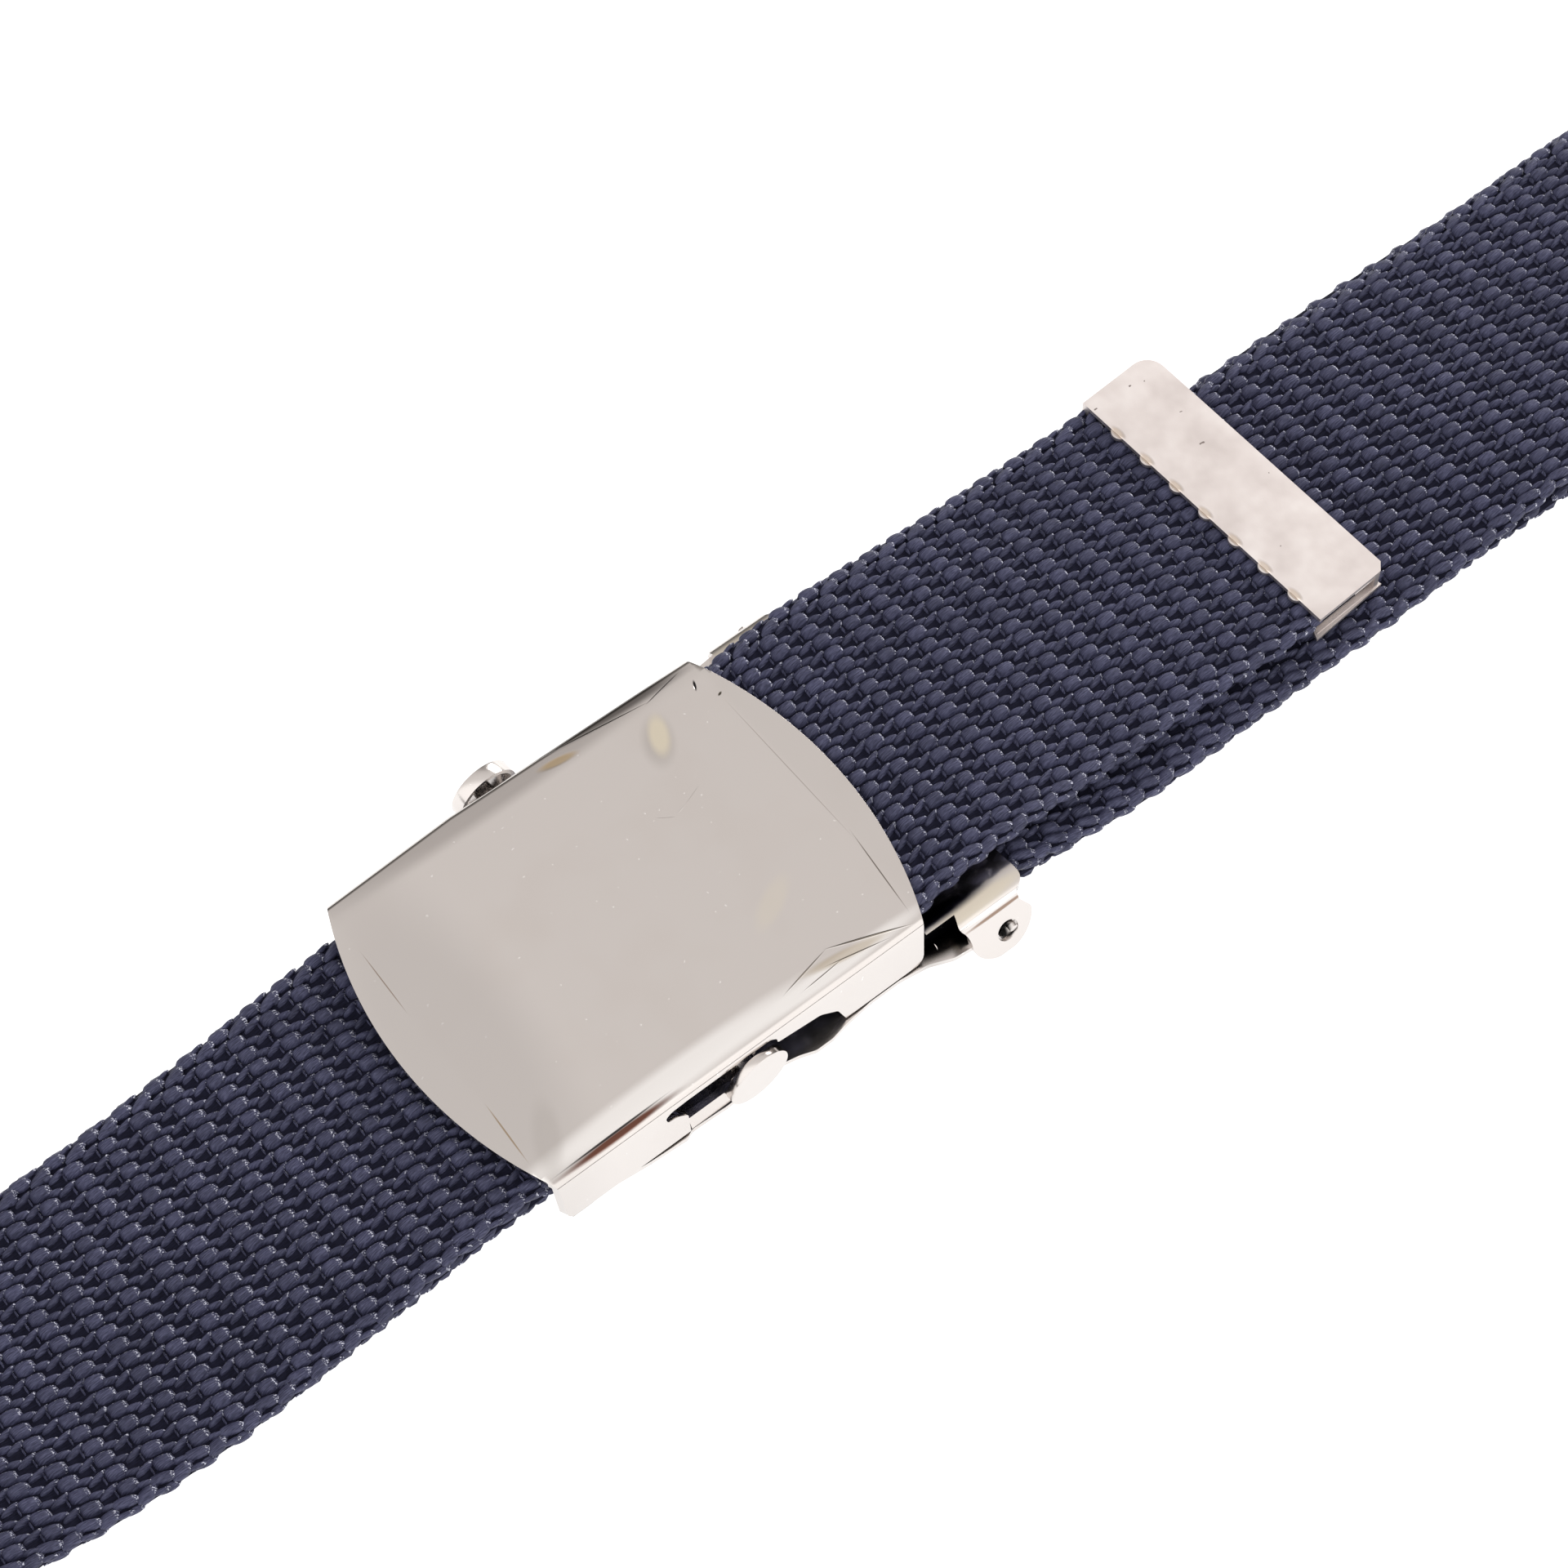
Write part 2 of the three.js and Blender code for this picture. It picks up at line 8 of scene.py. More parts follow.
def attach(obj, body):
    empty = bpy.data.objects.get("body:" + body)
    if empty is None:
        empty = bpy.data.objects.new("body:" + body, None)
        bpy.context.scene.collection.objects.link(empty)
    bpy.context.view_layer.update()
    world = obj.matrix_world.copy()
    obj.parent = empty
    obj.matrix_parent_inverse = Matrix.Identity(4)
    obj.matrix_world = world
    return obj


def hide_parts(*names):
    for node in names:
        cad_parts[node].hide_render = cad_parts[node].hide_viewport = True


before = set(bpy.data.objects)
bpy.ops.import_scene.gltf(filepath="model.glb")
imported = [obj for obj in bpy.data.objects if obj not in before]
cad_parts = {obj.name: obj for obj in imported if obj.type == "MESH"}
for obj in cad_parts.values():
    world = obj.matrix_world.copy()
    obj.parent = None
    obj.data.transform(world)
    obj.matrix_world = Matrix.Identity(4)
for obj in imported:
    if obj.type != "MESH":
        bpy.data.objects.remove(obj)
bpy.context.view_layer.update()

mm = 0.001
chance = np.random.default_rng(38)

# Helpers for tables, nodes and materials


def clearSelection():
    if bpy.context.mode != "OBJECT":
        bpy.ops.object.mode_set(mode="OBJECT")
    bpy.ops.object.select_all(action="DESELECT")


def tableOf(columns, rows):
    # each row as a dictionary, so that its values have names
    return [dict(zip(columns.split(), row)) for row in rows]


def fillInputs(tree, node, inputs):
    for key, value in inputs.items():
        if isinstance(value, bpy.types.NodeSocket):
            tree.links.new(value, node.inputs[key])
        else:
            node.inputs[key].default_value = value
    return node


def newNode(tree, kind, inputs=None, **settings):
    node = tree.nodes.new("ShaderNode" + kind)
    for key, value in settings.items():
        setattr(node, key, value)
    return fillInputs(tree, node, inputs or {})


def newMaterial(name):
    material = bpy.data.materials.new(name)
    material.use_nodes = True
    tree = material.node_tree
    return material, tree, tree.nodes["Principled BSDF"]


def noiseAt(tree, vector, scale, detail):
    inputs = {"Vector": vector, "Scale": scale, "Detail": detail, "Roughness": 0.6}
    return newNode(tree, "TexNoise", inputs).outputs["Fac"]


def rampOf(tree, value, stops):
    ramp = newNode(tree, "ValToRGB", {"Fac": value})
    elements = ramp.color_ramp.elements
    while len(elements) < len(stops):
        elements.new(0.5)
    for element, (position, color) in zip(elements, stops):
        element.position = position
        element.color = (*color, 1)
    return ramp.outputs["Color"]


def greyRamp(tree, value, stops):
    return rampOf(tree, value, [(position, (grey, grey, grey)) for position, grey in stops])


def mapped(tree, vector, scale):
    return newNode(tree, "Mapping", {"Vector": vector, "Scale": scale}).outputs["Vector"]


def mathOf(tree, operation, a, b):
    return newNode(tree, "Math", {0: a, 1: b}, operation=operation).outputs[0]


def times(tree, a, b):
    return mathOf(tree, "MULTIPLY", a, b)


def plus(tree, a, b):
    return mathOf(tree, "ADD", a, b)


def mixedColour(tree, share, below, tint):
    mix = newNode(tree, "Mix", data_type="RGBA")
    return fillInputs(tree, mix, {"Factor": share, "A": below, "B": (*tint, 1)}).outputs["Result"]


def bumpInto(tree, shader, height, distance):
    bump = newNode(tree, "Bump", {"Height": height, "Strength": 1.0, "Distance": distance})
    tree.links.new(bump.outputs["Normal"], shader.inputs["Normal"])


# Camera and stage

cameraView = {
    "azimuth": 37.66, "elevation": 62.13, "roll": -0.82,
    "distance": 0.439, "lens": 91.93, "sensor": 36.0, "clip": 0.01,
    "target": (0.02588, 0.00584, 0.0024),
}
stageLight = {
    "floorSize": 4.0, "floorDrop": 0.0003, "floorColor": (0.30, 0.30, 0.30), "floorRough": 0.9,
    "floorGlow": 0.98,
    # what the plate mirrors, by the angle over the belt from the far horizon (0) to the near one (1)
    "sky": ((0.0, (0.10, 0.095, 0.09)), (0.12, (0.20, 0.19, 0.18)), (0.22, (0.36, 0.34, 0.32)),
            (0.29, (0.76, 0.73, 0.71)), (0.345, (0.84, 0.805, 0.785)), (0.44, (0.90, 0.87, 0.85)),
            (0.53, (1.40, 1.38, 1.36)), (0.92, (1.40, 1.38, 1.36)), (0.962, (0.07, 0.06, 0.055)),
            (0.99, (0.10, 0.09, 0.085))),
    "skyStrength": 1.0, "farWay": (0.611, 0.792, 0.0),
    "keySize": 0.4, "keyPower": 5.0, "keyPlace": (0.80, 0.40, 0.36), "keyColor": (1.0, 0.98, 0.97),
}


def addCamera():
    azimuth, elevation, roll = (math.radians(cameraView[key]) for key in ("azimuth", "elevation", "roll"))
    back = Vector((-math.sin(azimuth) * math.cos(elevation), -math.cos(azimuth) * math.cos(elevation),
                   math.sin(elevation)))
    right = Vector((0, 0, 1)).cross(back).normalized()
    up = back.cross(right)
    turnedRight = right * math.cos(roll) + up * math.sin(roll)
    turnedUp = up * math.cos(roll) - right * math.sin(roll)
    data = bpy.data.cameras.new("photoCamera")
    data.lens = cameraView["lens"]
    data.sensor_width = cameraView["sensor"]
    data.clip_start = cameraView["clip"]
    camera = bpy.data.objects.new("photoCamera", data)
    bpy.context.collection.objects.link(camera)
    turn = Matrix((turnedRight, turnedUp, back)).transposed()
    place = Matrix.Translation(Vector(cameraView["target"]) + back * cameraView["distance"])
    camera.matrix_world = place @ turn.to_4x4()
    bpy.context.scene.camera = camera


def addKeyLight():
    data = bpy.data.lights.new("keyLight", "AREA")
    data.size = stageLight["keySize"]
    data.energy = stageLight["keyPower"]
    data.color = stageLight["keyColor"]
    light = bpy.data.objects.new("keyLight", data)
    light.location = stageLight["keyPlace"]
    light.rotation_euler = Vector(stageLight["keyPlace"]).to_track_quat("Z", "Y").to_euler()
    bpy.context.collection.objects.link(light)


def addStage():
    clearSelection()
    bpy.ops.mesh.primitive_plane_add(size=stageLight["floorSize"], location=(0, 0, -stageLight["floorDrop"]))
    floor = bpy.context.object
    floor.name = "paleFloor"
    paper, tree, shader = newMaterial("paperFloor")
    fillInputs(tree, shader, {"Base Color": (*stageLight["floorColor"], 1),
                              "Roughness": stageLight["floorRough"], "Emission Color": (1, 1, 1, 1),
                              "Emission Strength": stageLight["floorGlow"]})
    floor.data.materials.append(paper)

    world = bpy.data.worlds.new("studio")
    world.use_nodes = True
    bpy.context.scene.world = world
    tree = world.node_tree
    way = newNode(tree, "TexCoord").outputs["Generated"]
    upward = newNode(tree, "SeparateXYZ", {0: way}).outputs["Z"]
    farther = newNode(tree, "VectorMath", {0: way, 1: stageLight["farWay"]}, operation="DOT_PRODUCT")
    angle = mathOf(tree, "ARCTAN2", upward, farther.outputs["Value"])
    sky = rampOf(tree, mathOf(tree, "DIVIDE", angle, math.pi), stageLight["sky"])
    fillInputs(tree, tree.nodes["Background"], {"Color": sky, "Strength": stageLight["skyStrength"]})

    addKeyLight()
    bpy.context.scene.view_settings.view_transform = "Standard"


addCamera()
addStage()
print("camera, floor and light are in")

# Strap: the centre line of the whole loop

strap = {
    "width": 38.0, "thick": 2.2, "folded": 500.0, "foldRadius": 10.0, "foldRise": 52.0,
    "clearance": 0.3, "crown": 0.5, "twist": -8.0, "rightFoldY": -0.8, "leftFoldY": 0.5,
    "coreTop": 0.2, "coreBottom": -0.5, "coreEdge": 0.75,
}
stack = {
    "sheet": 0.8, "footGap": 0.9, "buckleDepth": 9.0, "barDepth": 5.35, "barRadius": 1.7, "barX": -0.2,
    "caseHalf": 24.0, "caseBulge": 4.5, "jawTo": 37.2, "tailTip": 91.6, "tipLength": 9.6, "tipSheet": 0.6,
    "crimped": 1.8, "tipY": 1.5,
}


def along(start, end, share):
    return start + (end - start) * share


def smooth(share):
    return share * share * (3 - 2 * share)


thick = strap["thick"]
lowerLayer = thick / 2
upperLayer = thick * 1.5 + strap["clearance"]
floorTop = thick + stack["footGap"] + stack["sheet"]
faceTop = thick + stack["footGap"] + stack["buckleDepth"]
clampLayer = floorTop + strap["clearance"] + thick / 2
jawTop = clampLayer + thick / 2 + strap["clearance"] + stack["sheet"]
barHeight = faceTop - stack["barDepth"]
slideLayer = barHeight + stack["barRadius"] + strap["clearance"] + thick / 2
tipHalf = stack["crimped"] / 2 + strap["clearance"] + stack["tipSheet"]
tipLayer = upperLayer + strap["crown"] + thick / 2 + strap["clearance"] + tipHalf
foldCentre = strap["folded"] / 2 - strap["foldRadius"] - thick / 2
riseStart = foldCentre - strap["foldRise"]


def lift(degrees):
    return math.sin(math.radians(abs(degrees))) * strap["width"] / 2


def strandRow(x, z, y=0.0, roll=0.0, crown=0.0):
    return {"x": x, "z": z, "y": y, "roll": roll, "crown": crown}


def fixedStrand():
    jawTo, folded, crown, twist = stack["jawTo"], strap["folded"], strap["crown"], strap["twist"]
    caseHalf = stack["caseHalf"]
    return [
        strandRow(caseHalf - 1.5, clampLayer, 0.1),
        strandRow(jawTo - 4, clampLayer, -0.3),
        strandRow(jawTo + 1.5, clampLayer, -0.7),
        strandRow(jawTo + 9, along(clampLayer, upperLayer, 0.45), -1.5, crown=0.3),
        strandRow(jawTo + 20, upperLayer + crown, -2.1, crown=crown),
        strandRow(stack["tailTip"] - stack["tipLength"] - 2, upperLayer + crown, -2.1, crown=crown),
        strandRow(stack["tailTip"] + 1, upperLayer + lift(1), -2.3, roll=-1, crown=0.3),
        strandRow(stack["tailTip"] + 13, upperLayer + lift(4), -2.6, roll=-4),
        strandRow(folded * 0.24, upperLayer + lift(twist), -2.8, roll=twist),
        strandRow(folded * 0.3, upperLayer + lift(twist), -2.6, roll=twist),
        strandRow(riseStart - 4, upperLayer + 0.1, -0.9),
    ]


def frontStrand():
    caseHalf, jawTo, tailTip = stack["caseHalf"], stack["jawTo"], stack["tailTip"]
    folded, twist, barX = strap["folded"], strap["twist"], stack["barX"]
    return [
        strandRow(-riseStart + 4, upperLayer, 0.6),
        strandRow(-folded * 0.26, upperLayer + lift(twist / 2), 0.4, roll=twist / 2),
        strandRow(-folded * 0.185, upperLayer + lift(twist), -0.3, roll=twist),
        strandRow(-folded * 0.155, upperLayer + lift(3), -0.6, roll=-3),
        strandRow(-folded * 0.13, upperLayer + lift(1) + 0.2, -0.6, roll=-1),
        strandRow(-caseHalf - 24, along(upperLayer, slideLayer, 0.27), -0.35, roll=-2),
        strandRow(-caseHalf - 11, along(upperLayer, slideLayer, 0.6), 0, roll=-3.5),
        strandRow(-caseHalf, along(upperLayer, slideLayer, 0.78), 0.1, roll=-3),
        strandRow(-caseHalf / 2, along(upperLayer, slideLayer, 0.94), 0.1, roll=-1),
        strandRow(barX - 3, slideLayer, 0.1),
        strandRow(barX + 3, slideLayer, 0.1),
        strandRow(caseHalf, slideLayer, 0.2),
        strandRow(caseHalf + stack["caseBulge"], slideLayer, 1, crown=0.2),
        strandRow(jawTo, slideLayer - 0.1, 1.6, crown=0.5),
        strandRow(along(jawTo, tailTip, 0.15), along(slideLayer, tipLayer, 0.16), 1.7, crown=1),
        strandRow(along(jawTo, tailTip, 0.34), along(slideLayer, tipLayer, 0.42), 1.9, crown=1.8),
        strandRow(along(jawTo, tailTip, 0.55), along(slideLayer, tipLayer, 0.7), 1.9, crown=1.8),
        strandRow(tailTip - stack["tipLength"] - 5, along(slideLayer, tipLayer, 0.93), 1.5, crown=0.9),
        strandRow(tailTip - stack["tipLength"] - 1.2, tipLayer, stack["tipY"] - 0.3),
        strandRow(tailTip - stack["tipSheet"] - 2.2, tipLayer, stack["tipY"] + 0.1),
    ]


def lowerDrift():
    folded = strap["folded"]
    drift = ((foldCentre / folded, -0.6), (0.3, -1.8), (0.2, -1.1), (0.13, -1.2), (0.08, 0.1),
             (0.03, 1.4), (-0.05, 2.4), (-0.09, 1.4), (-0.125, 0.7), (-0.155, 1.2),
             (-0.18, 2.3), (-0.24, 2.3), (-0.34, 0.9), (-foldCentre / folded, 0.4))
    return [strandRow(folded * share, lowerLayer, y) for share, y in drift]


def refined(rows, step):
    keys = list(rows[0])

    def slope(i, key):
        if i <= 0 or i >= len(rows) - 1:
            return 0.0
        before = (rows[i][key] - rows[i - 1][key]) / (rows[i]["x"] - rows[i - 1]["x"])
        after = (rows[i + 1][key] - rows[i][key]) / (rows[i + 1]["x"] - rows[i]["x"])
        return 0.0 if before * after <= 0 else 2 * before * after / (before + after)

    out = []
    for i in range(len(rows) - 1):
        span = rows[i + 1]["x"] - rows[i]["x"]
        pieces = max(1, round(abs(span) / step))
        for k in range(pieces):
            t = k / pieces
            row = {}
            for key in keys:
                bend = t * (1 - t) ** 2 * slope(i, key) * span - t * t * (1 - t) * slope(i + 1, key) * span
                row[key] = along(rows[i][key], rows[i + 1][key], smooth(t)) + bend
            row["x"] = along(rows[i]["x"], rows[i + 1]["x"], t)
            out.append(row)
    out.append(dict(rows[-1]))
    return out


def endFold(side, yUpper, yLower):
    top = lowerLayer + 2 * strap["foldRadius"]
    climb = [strandRow(side * along(riseStart, foldCentre, t), along(upperLayer, top, smooth(t)), yUpper)
             for t in np.linspace(0, 1, 40, endpoint=False)]
    turn = [strandRow(side * (foldCentre + strap["foldRadius"] * math.sin(math.pi * t)),
                      lowerLayer + strap["foldRadius"] * (1 + math.cos(math.pi * t)),
                      along(yUpper, yLower, smooth(t)))
            for t in np.linspace(0, 1, 33)]
    return climb + turn


def strapPath():
    step = 1.5
    drift = lowerDrift()
    rows = refined(fixedStrand(), step)
    rows += endFold(1, strap["rightFoldY"], drift[0]["y"])
    lower = refined(drift, step * 2)[1:-1]
    rows += lower
    rows += endFold(-1, strap["leftFoldY"], drift[-1]["y"])[::-1]
    rows += refined(frontStrand(), step)
    path = {key: np.array([row[key] for row in rows]) for key in rows[0]}
    steps = np.sqrt(np.diff(path["x"]) ** 2 + np.diff(path["z"]) ** 2)
    path["s"] = np.concatenate([[0.0], np.cumsum(np.maximum(steps, 1e-4))])
    even = np.linspace(0, path["s"][-1], int(path["s"][-1]))
    path = {key: np.interp(even, path["s"], path[key]) for key in path}
    kernel = np.array([1, 3, 4, 3, 1]) / 12
    for key in ("x", "z", "y", "roll", "crown"):
        padded = np.concatenate([path[key][:1].repeat(2), path[key], path[key][-1:].repeat(2)])
        soft = np.convolve(padded, kernel, mode="valid")
        soft[:2], soft[-2:] = path[key][:2], path[key][-2:]
        path[key] = soft
    forwardX, forwardZ = np.gradient(path["x"]), np.gradient(path["z"])
    size = np.hypot(forwardX, forwardZ)
    path["fx"], path["fz"] = forwardX / size, forwardZ / size
    return path


path = strapPath()
strapLength = path["s"][-1]
turnAround = int(np.argmin(path["x"]))
frontStart = path["s"][turnAround]


def placeOnStrap(s, v, w):
    # s runs along the strap, v across it and w out of its face; the point comes out in metres
    get = {key: np.interp(s, path["s"], path[key]) for key in ("x", "y", "z", "roll", "crown", "fx", "fz")}
    roll = np.radians(get["roll"])
    drop = w - get["crown"] * (v / (strap["width"] / 2)) ** 2
    x = get["x"] - get["fz"] * drop
    y = get["y"] + v * np.cos(roll)
    z = get["z"] + v * np.sin(roll) + get["fx"] * drop
    return np.stack([x, y, z], axis=-1) * mm


def stationsAtX(xs, strandFrom, strandTo):
    inside = (path["s"] >= strandFrom) & (path["s"] <= strandTo)
    order = np.argsort(path["x"][inside])
    return np.interp(xs, path["x"][inside][order], path["s"][inside][order])


print("strap runs for", round(strapLength), "mm")

# Webbing: the close core, which carries the yarns, and the yarns that float over it

weave = {
    "pitchAlong": 4.27, "pitchAcross": 1.896, "columns": 18, "reach": 17.45,
    "skewFront": 0.13, "skewFixed": 0.03, "skewLoop": 0.08, "skewRun": 60.0,
    "jitter": 0.06, "jitterAcross": 0.6, "grow": 0.045, "clampEnd": 1.0, "tailEnd": 2.0,
    "photoLeft": -128.0, "photoRight": 160.0,
}
coreForm = {"columns": 13, "edgeOut": 0.45, "step": 1.6, "lastStep": 1.0, "endGap": 0.2}
yarnForm = {"waistPower": 2.4, "roundPower": 2.6, "roundRoot": 0.62}
frontFrom = float(stationsAtX(weave["photoLeft"], frontStart, strapLength))
fixedTo = float(stationsAtX(weave["photoRight"], 0, path["s"][int(np.argmax(path["x"]))]))
# Places are from the middle of the puff: a along the strap, b across it. lean is the sideways run per mm.
# sort darkens the yarns that lie lower, beside the puff and diving under the weft, as painted shade.
yarnKinds = tableOf("name a b length width rise blunt waist lean sort", (
    ("puff", 0.0, 0.0, 2.4, 1.84, 1.06, 2.8, 0.66, -0.16, 0.0),
    ("sideYarn", 1.45, -0.88, 2.1, 0.84, 0.94, 2.2, 0.45, -0.26, 0.1),
    ("diveYarn", 2.62, -1.3, 2.5, 0.96, 0.78, 2.2, 0.45, 0.22, 0.35),
    ("weftBit", -1.34, -0.12, 0.3, 1.15, 0.7, 2.0, 0.9, 0.1, 0.0),
))
yarnGrids = {
    "fine": {"puff": (8, 6), "sideYarn": (7, 4), "diveYarn": (7, 4), "weftBit": (3, 5), "knot": (8, 7)},
    "plain": {"puff": (6, 4), "sideYarn": (4, 3), "diveYarn": (4, 3), "weftBit": (2, 3), "knot": (5, 4)},
    "back": {"puff": (5, 4), "diveYarn": (4, 3)},
}
# Where the yarns of each face start from the core and how far they rise
webFaces = {"front": {"base": 0.05, "rise": 1.0}, "back": {"base": -0.45, "rise": -0.6}}
# The woven edges: plaited knots, two to a pitch, one turned over the top and one under
knotKinds = tableOf("a v w length radiusV radiusW lean", (
    (0.0, 17.5, 0.5, 3.0, 0.66, 0.56, 0.24),
    (2.0, 18.1, 0.3, 2.6, 0.8, 0.7, -0.14),
    (3.4, 18.55, 0.25, 2.2, 0.3, 0.42, 0.16),
    (0.2, 18.2, -0.42, 3.0, 0.72, 0.62, 0.12),
))
knotForm = {"end": 0.02, "power": 2.3, "jitter": 0.07, "sway": 0.05, "half": 1.6, "tailEnd": 3.8}


def meshPiece(name, material, points, faces, uvs, tones=None):
    mesh = bpy.data.meshes.new(name)
    mesh.from_pydata(points.tolist(), [], faces if isinstance(faces, list) else faces.tolist())
    mesh.polygons.foreach_set("use_smooth", np.ones(len(mesh.polygons), dtype=bool))
    corners = np.empty(len(mesh.loops), dtype=np.int32)
    mesh.loops.foreach_get("vertex_index", corners)
    layer = mesh.uv_layers.new(name="strapMap")
    layer.uv.foreach_set("vector", uvs[corners].astype(np.float32).ravel())
    if tones is not None:
        layer = mesh.color_attributes.new("yarnTone", "FLOAT_COLOR", "POINT")
        layer.data.foreach_set("color", tones.astype(np.float32).ravel())
    mesh.update()
    piece = bpy.data.objects.new(name, mesh)
    bpy.context.collection.objects.link(piece)
    piece.data.materials.append(material)
    return piece


def coreSheet(name, material):
    half = strap["width"] / 2 - strap["coreEdge"]
    top, bottom = strap["coreTop"], strap["coreBottom"]
    across = np.linspace(-half, half, coreForm["columns"])
    side = half + coreForm["edgeOut"]
    ring = [(v, bottom) for v in across] + [(side, (top + bottom) / 2)]
    ring += [(v, top) for v in across[::-1]] + [(-side, (top + bottom) / 2)]
    ring = np.array(ring)
    stations = np.append(np.arange(0.0, strapLength - coreForm["lastStep"], coreForm["step"]),
                         strapLength - coreForm["endGap"])
    size, count = len(ring), len(stations)
    s, v, w = np.repeat(stations, size), np.tile(ring[:, 0], count), np.tile(ring[:, 1], count)
    index = np.arange(size * count).reshape(count, size)
    nextAcross = np.roll(index, -1, axis=1)
    quads = np.stack([index[:-1], nextAcross[:-1], nextAcross[1:], index[1:]], axis=-1).reshape(-1, 4)
    faces = quads.tolist() + [index[0][::-1].tolist(), index[-1].tolist()]
    return meshPiece(name, material, placeOnStrap(s, v, w), faces, np.stack([s, v], axis=-1) * mm)


def yarnShape(kind, grid):
    t, q = np.meshgrid(np.linspace(0, 1, grid[0]), np.linspace(-1, 1, grid[1]), indexing="ij")
    ends = np.abs(2 * t - 1)
    arch = np.sqrt(np.maximum(1 - ends ** kind["blunt"], 0))
    girth = kind["width"] / 2 * (1 - (1 - kind["waist"]) * ends ** yarnForm["waistPower"])
    a = (t - 0.5) * kind["length"]
    b = q * girth + kind["lean"] * a
    h = kind["rise"] * arch * (1 - np.abs(q) ** yarnForm["roundPower"]) ** yarnForm["roundRoot"]
    order = np.arange(grid[0] * grid[1]).reshape(grid)
    quads = np.stack([order[:-1, :-1], order[1:, :-1], order[1:, 1:], order[:-1, 1:]], axis=-1).reshape(-1, 4)
    return a.ravel(), b.ravel(), h.ravel(), t.ravel(), q.ravel(), quads


def skewAt(s):
    # each column lags behind the one before it, by a lag that drifts along the strap
    places = (fixedTo, fixedTo + weave["skewRun"], frontFrom - weave["skewRun"], frontFrom)
    return np.interp(s, places, [weave[key] for key in ("skewFixed", "skewLoop", "skewLoop", "skewFront")])


def rowsOf(sFrom, sTo):
    pitch = weave["pitchAlong"]
    return np.arange(math.ceil(sFrom / pitch), math.ceil(sTo / pitch)) * pitch


def noCopies():
    return {"points": [], "faces": [], "uvs": [], "tones": [], "count": 0}


def addCopies(copies, shape, s, v, w, t, q, sort):
    # every row of s, v and w is one copy of the shape; the yarn's tone goes into its colours
    places = [part.ravel() for part in (s, v, w)]
    copies["points"].append(placeOnStrap(*places))
    copies["uvs"].append(np.stack(places[:2], axis=-1) * mm)
    tone = np.stack([np.broadcast_to(t, s.shape), np.repeat(chance.random(len(s))[:, None], s.shape[1], 1),
                     np.full(s.shape, sort), np.broadcast_to(q, s.shape)], axis=-1)
    copies["tones"].append(tone.reshape(-1, 4))
    starts = np.arange(len(s)) * s.shape[1] + copies["count"]
    copies["faces"].append((shape[None] + starts[:, None, None]).reshape(-1, 4))
    copies["count"] += s.size


def piecesOf(name, material, copies):
    parts = [np.concatenate(copies[key]) for key in ("points", "faces", "uvs", "tones")]
    return meshPiece(name, material, *parts)


def yarnsOver(name, sFrom, sTo, grids, material, side="front"):
    face = webFaces[side]
    columns = (np.arange(weave["columns"] + 1) - (weave["columns"] - 1) / 2) * weave["pitchAcross"]
    rowAt, columnAt = [part.ravel() for part in np.meshgrid(rowsOf(sFrom, sTo), columns, indexing="ij")]
    rowAt = rowAt - skewAt(rowAt) * columnAt / weave["pitchAcross"]
    count = len(rowAt)
    copies = noCopies()
    for kind in yarnKinds:
        if kind["name"] not in grids:
            continue
        a, b, h, t, q, shape = yarnShape(kind, grids[kind["name"]])
        if side == "back":
            shape = shape[:, ::-1]
        jitter = chance.normal(0, weave["jitter"], (3, count))
        grow = 1 + chance.normal(0, weave["grow"], count)
        s = rowAt[:, None] + kind["a"] + jitter[0][:, None] + a * grow[:, None]
        v = columnAt[:, None] + kind["b"] + jitter[1][:, None] * weave["jitterAcross"] + b
        w = face["base"] + face["rise"] * h * (grow + jitter[2])[:, None]
        keep = (s.min(axis=1) > weave["clampEnd"]) & (s.max(axis=1) < strapLength - weave["tailEnd"])
        keep &= np.abs(columnAt + kind["b"]) < weave["reach"]
        addCopies(copies, shape, s[keep], v[keep], w[keep], t, q, kind["sort"])
    return piecesOf(name, material, copies)


def edgeKnots(name, sFrom, sTo, grid, material):
    rows = rowsOf(sFrom, sTo)
    turns, rings = grid
    end, half = knotForm["end"], knotForm["half"]
    t, turn = np.meshgrid(np.linspace(end, 1 - end, rings), np.arange(turns) / turns * 2 * math.pi,
                          indexing="ij")
    girth = np.sqrt(np.maximum(1 - np.abs(2 * t - 1) ** knotForm["power"], 0))
    order = np.arange(rings * turns).reshape(rings, turns)
    across = np.roll(order, -1, axis=1)
    shape = np.stack([order[:-1], order[1:], across[1:], across[:-1]], axis=-1).reshape(-1, 4)
    copies = noCopies()
    for side in (-1, 1):
        for knot in knotKinds:
            a = (t - 0.5) * knot["length"]
            v = knot["v"] + knot["radiusV"] * girth * np.cos(turn) + knot["lean"] * a
            w = knot["w"] + knot["radiusW"] * girth * np.sin(turn)
            middle = rows + knot["a"] + chance.normal(0, knotForm["jitter"], len(rows))
            middle = middle[(middle - half > weave["clampEnd"])
                            & (middle + half < strapLength - knotForm["tailEnd"])]
            s = middle[:, None] + a.ravel()
            v = side * (v.ravel() + chance.normal(0, knotForm["sway"], (len(middle), 1)))
            w = np.broadcast_to(w.ravel(), s.shape)
            addCopies(copies, shape if side < 0 else shape[:, ::-1], s, v, w, t.ravel(), 0.0, 0.0)
    return piecesOf(name, material, copies)


# Webbing finishes

